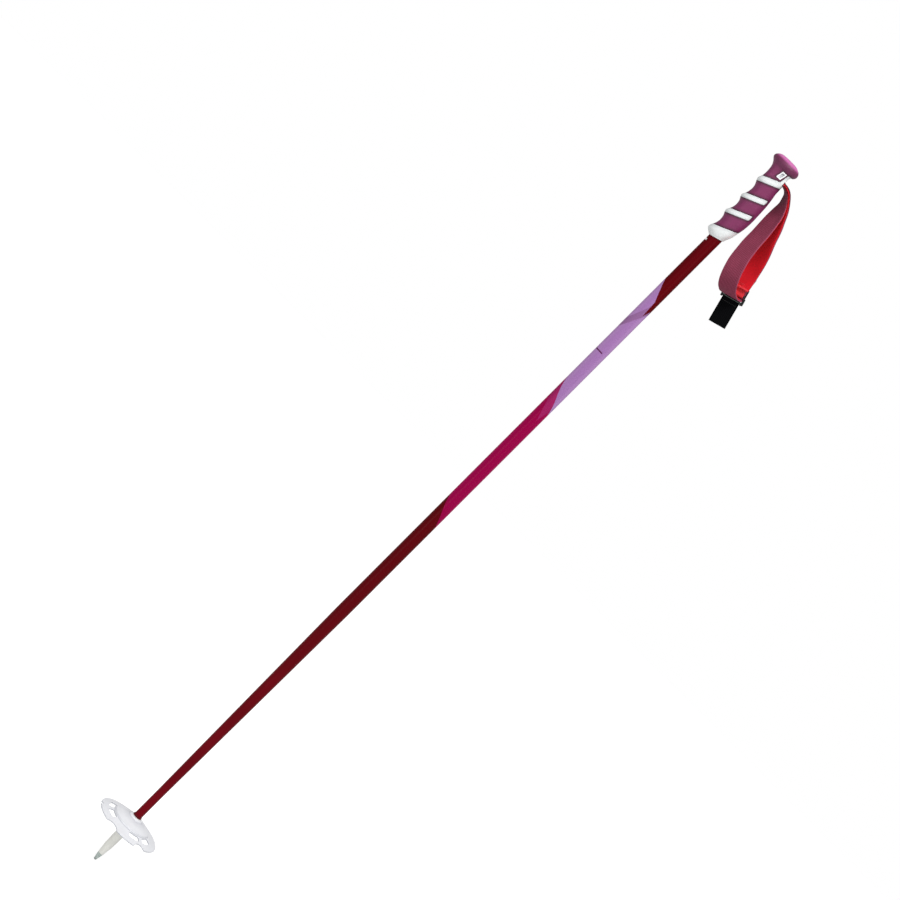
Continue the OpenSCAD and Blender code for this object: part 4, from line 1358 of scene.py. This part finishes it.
RIDES = [
    (shaft, "pole", ["shaft"], "shaft_paint"),
    (stop_ring, "pole", ["stop_ring"], "ring_maroon"),
    (ferrule, "pole", ["ferrule"], "ferrule_grey"),
    (spike, "pole", ["tip_spike"], "spike_steel"),
    (basket, "basket", ["basket"], "basket_white"),
    (core, "pole", ["grip_core"], "grip_white"),
    (sleeve, "pole", ["grip_sleeve"], "grip_soft"),
    (head, "pole", ["grip_cap"], "grip_soft"),
    (anchor, "pole", ["strap_anchor"], "anchor_white"),
    (end_loop, "strap", ["strap_end_loop"], "loop_red"),
    (hem, "strap", [], "loop_red"),
    (seam_thread, "strap", ["seam_stitches"], "thread_red"),
    (slider, "strap", ["slider_frame"], "slider_black"),
    (pull_tab, "tab", ["pull_tab"], "tab_black"),
    (bead, "tab", [], "tab_black"),
    (tab_thread, "tab", ["tab_stitches"], "thread_black"),
]
for thing, body, nodes, slot in RIDES:
    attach(thing, body)
    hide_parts(*nodes)

BENDS = [
    (webbing, ["strap_root", "strap_webbing"], "strap_mauve"),
    (near_lining, ["strap_lining"], "strap_red"),
    (far_lining, ["strap_lining"], "strap_red"),
]
for thing, nodes, slot in BENDS:
    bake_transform(thing)
    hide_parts(*nodes)


# ---- floor, light and camera ----


def stage_finish():
    """Pale floor: white where it is seen or mirrored, and it still takes the pole's shadow."""
    finish = Finish("floor", ink(188, 188, 188), roughness=0.9)
    seen, mirrored, through_clear = finish.rays("Camera", "Glossy", "Transmission")
    seen = (seen + mirrored + through_clear).math("MINIMUM", 1.0)
    finish.put("Emission Color", finish.mix(seen, (0, 0, 0, 1), (0.72, 0.72, 0.72, 1)))
    finish.put("Emission Strength", 1.0)
    return finish.material


def soft_lamp(name, place, aim, size, power):
    lamp = bpy.data.lights.new(name, "AREA")
    lamp.shape, lamp.size, lamp.energy = "DISK", size, power
    back = unit(np.array(place, float) - np.array(aim, float))
    right = unit(np.cross([0, 0, 1], back))
    placed(name, lamp).matrix_world = facing(right, np.cross(back, right), back, place)


def sky(strength):
    """Even light all round, and plain white where it is seen."""
    world = bpy.data.worlds.new("studio")
    bpy.context.scene.world = world
    world.use_nodes = True
    nodes = Nodes(world.node_tree)
    ground = nodes.tree.nodes["Background"].inputs
    seen, through_clear = nodes.rays("Camera", "Transmission")
    share = {"Factor": seen.math("MAXIMUM", through_clear), "A": strength, "B": 1.0}
    nodes.fill(ground["Strength"], nodes.node("ShaderNodeMix", None, share, "Result"))
    ground["Color"].default_value = (1, 1, 1, 1)


FLOOR_Z, FAR_OFF = -0.3, 4000
floor = [(x * FAR_OFF, y * FAR_OFF, FLOOR_Z) for x, y in ((-1, -1), (1, -1), (1, 1), (-1, 1))]
ground = built("floor", floor, [(0, 1, 2, 3)], stage_finish())
ground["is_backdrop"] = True
sky(0.54)
soft_lamp("key", (-1.2, -2.6, 2.0), (0, 0, 0.7), 1.8, 17)
soft_lamp("fill", (2.2, -2.4, 0.7), (0, 0, 0.4), 2.0, 12)
soft_lamp("low", (-1.0, -2.0, 0.3), (0, 0, 0.1), 0.8, 5.5)
soft_lamp("top", (0.5, -1.1, 2.7), (0, 0, 1.1), 0.7, 34)

PITCH_DOWN, ROLL = math.radians(8.775), math.radians(44.874)
forward = np.array([0, math.cos(PITCH_DOWN), -math.sin(PITCH_DOWN)])
level_up = np.array([0, math.sin(PITCH_DOWN), math.cos(PITCH_DOWN)])
level_right = np.array([1.0, 0, 0])
right = level_right * math.cos(ROLL) + level_up * math.sin(ROLL)
up = level_up * math.cos(ROLL) - level_right * math.sin(ROLL)
lens = bpy.data.cameras.new("camera")
lens.lens, lens.sensor_width = 103.553, 36.0
camera = placed("camera", lens)
camera.matrix_world = facing(right, up, -forward, (-0.0434, -2.931, 1.100))
bpy.context.scene.camera = camera
bpy.context.scene.view_settings.view_transform = "Standard"

low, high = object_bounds()
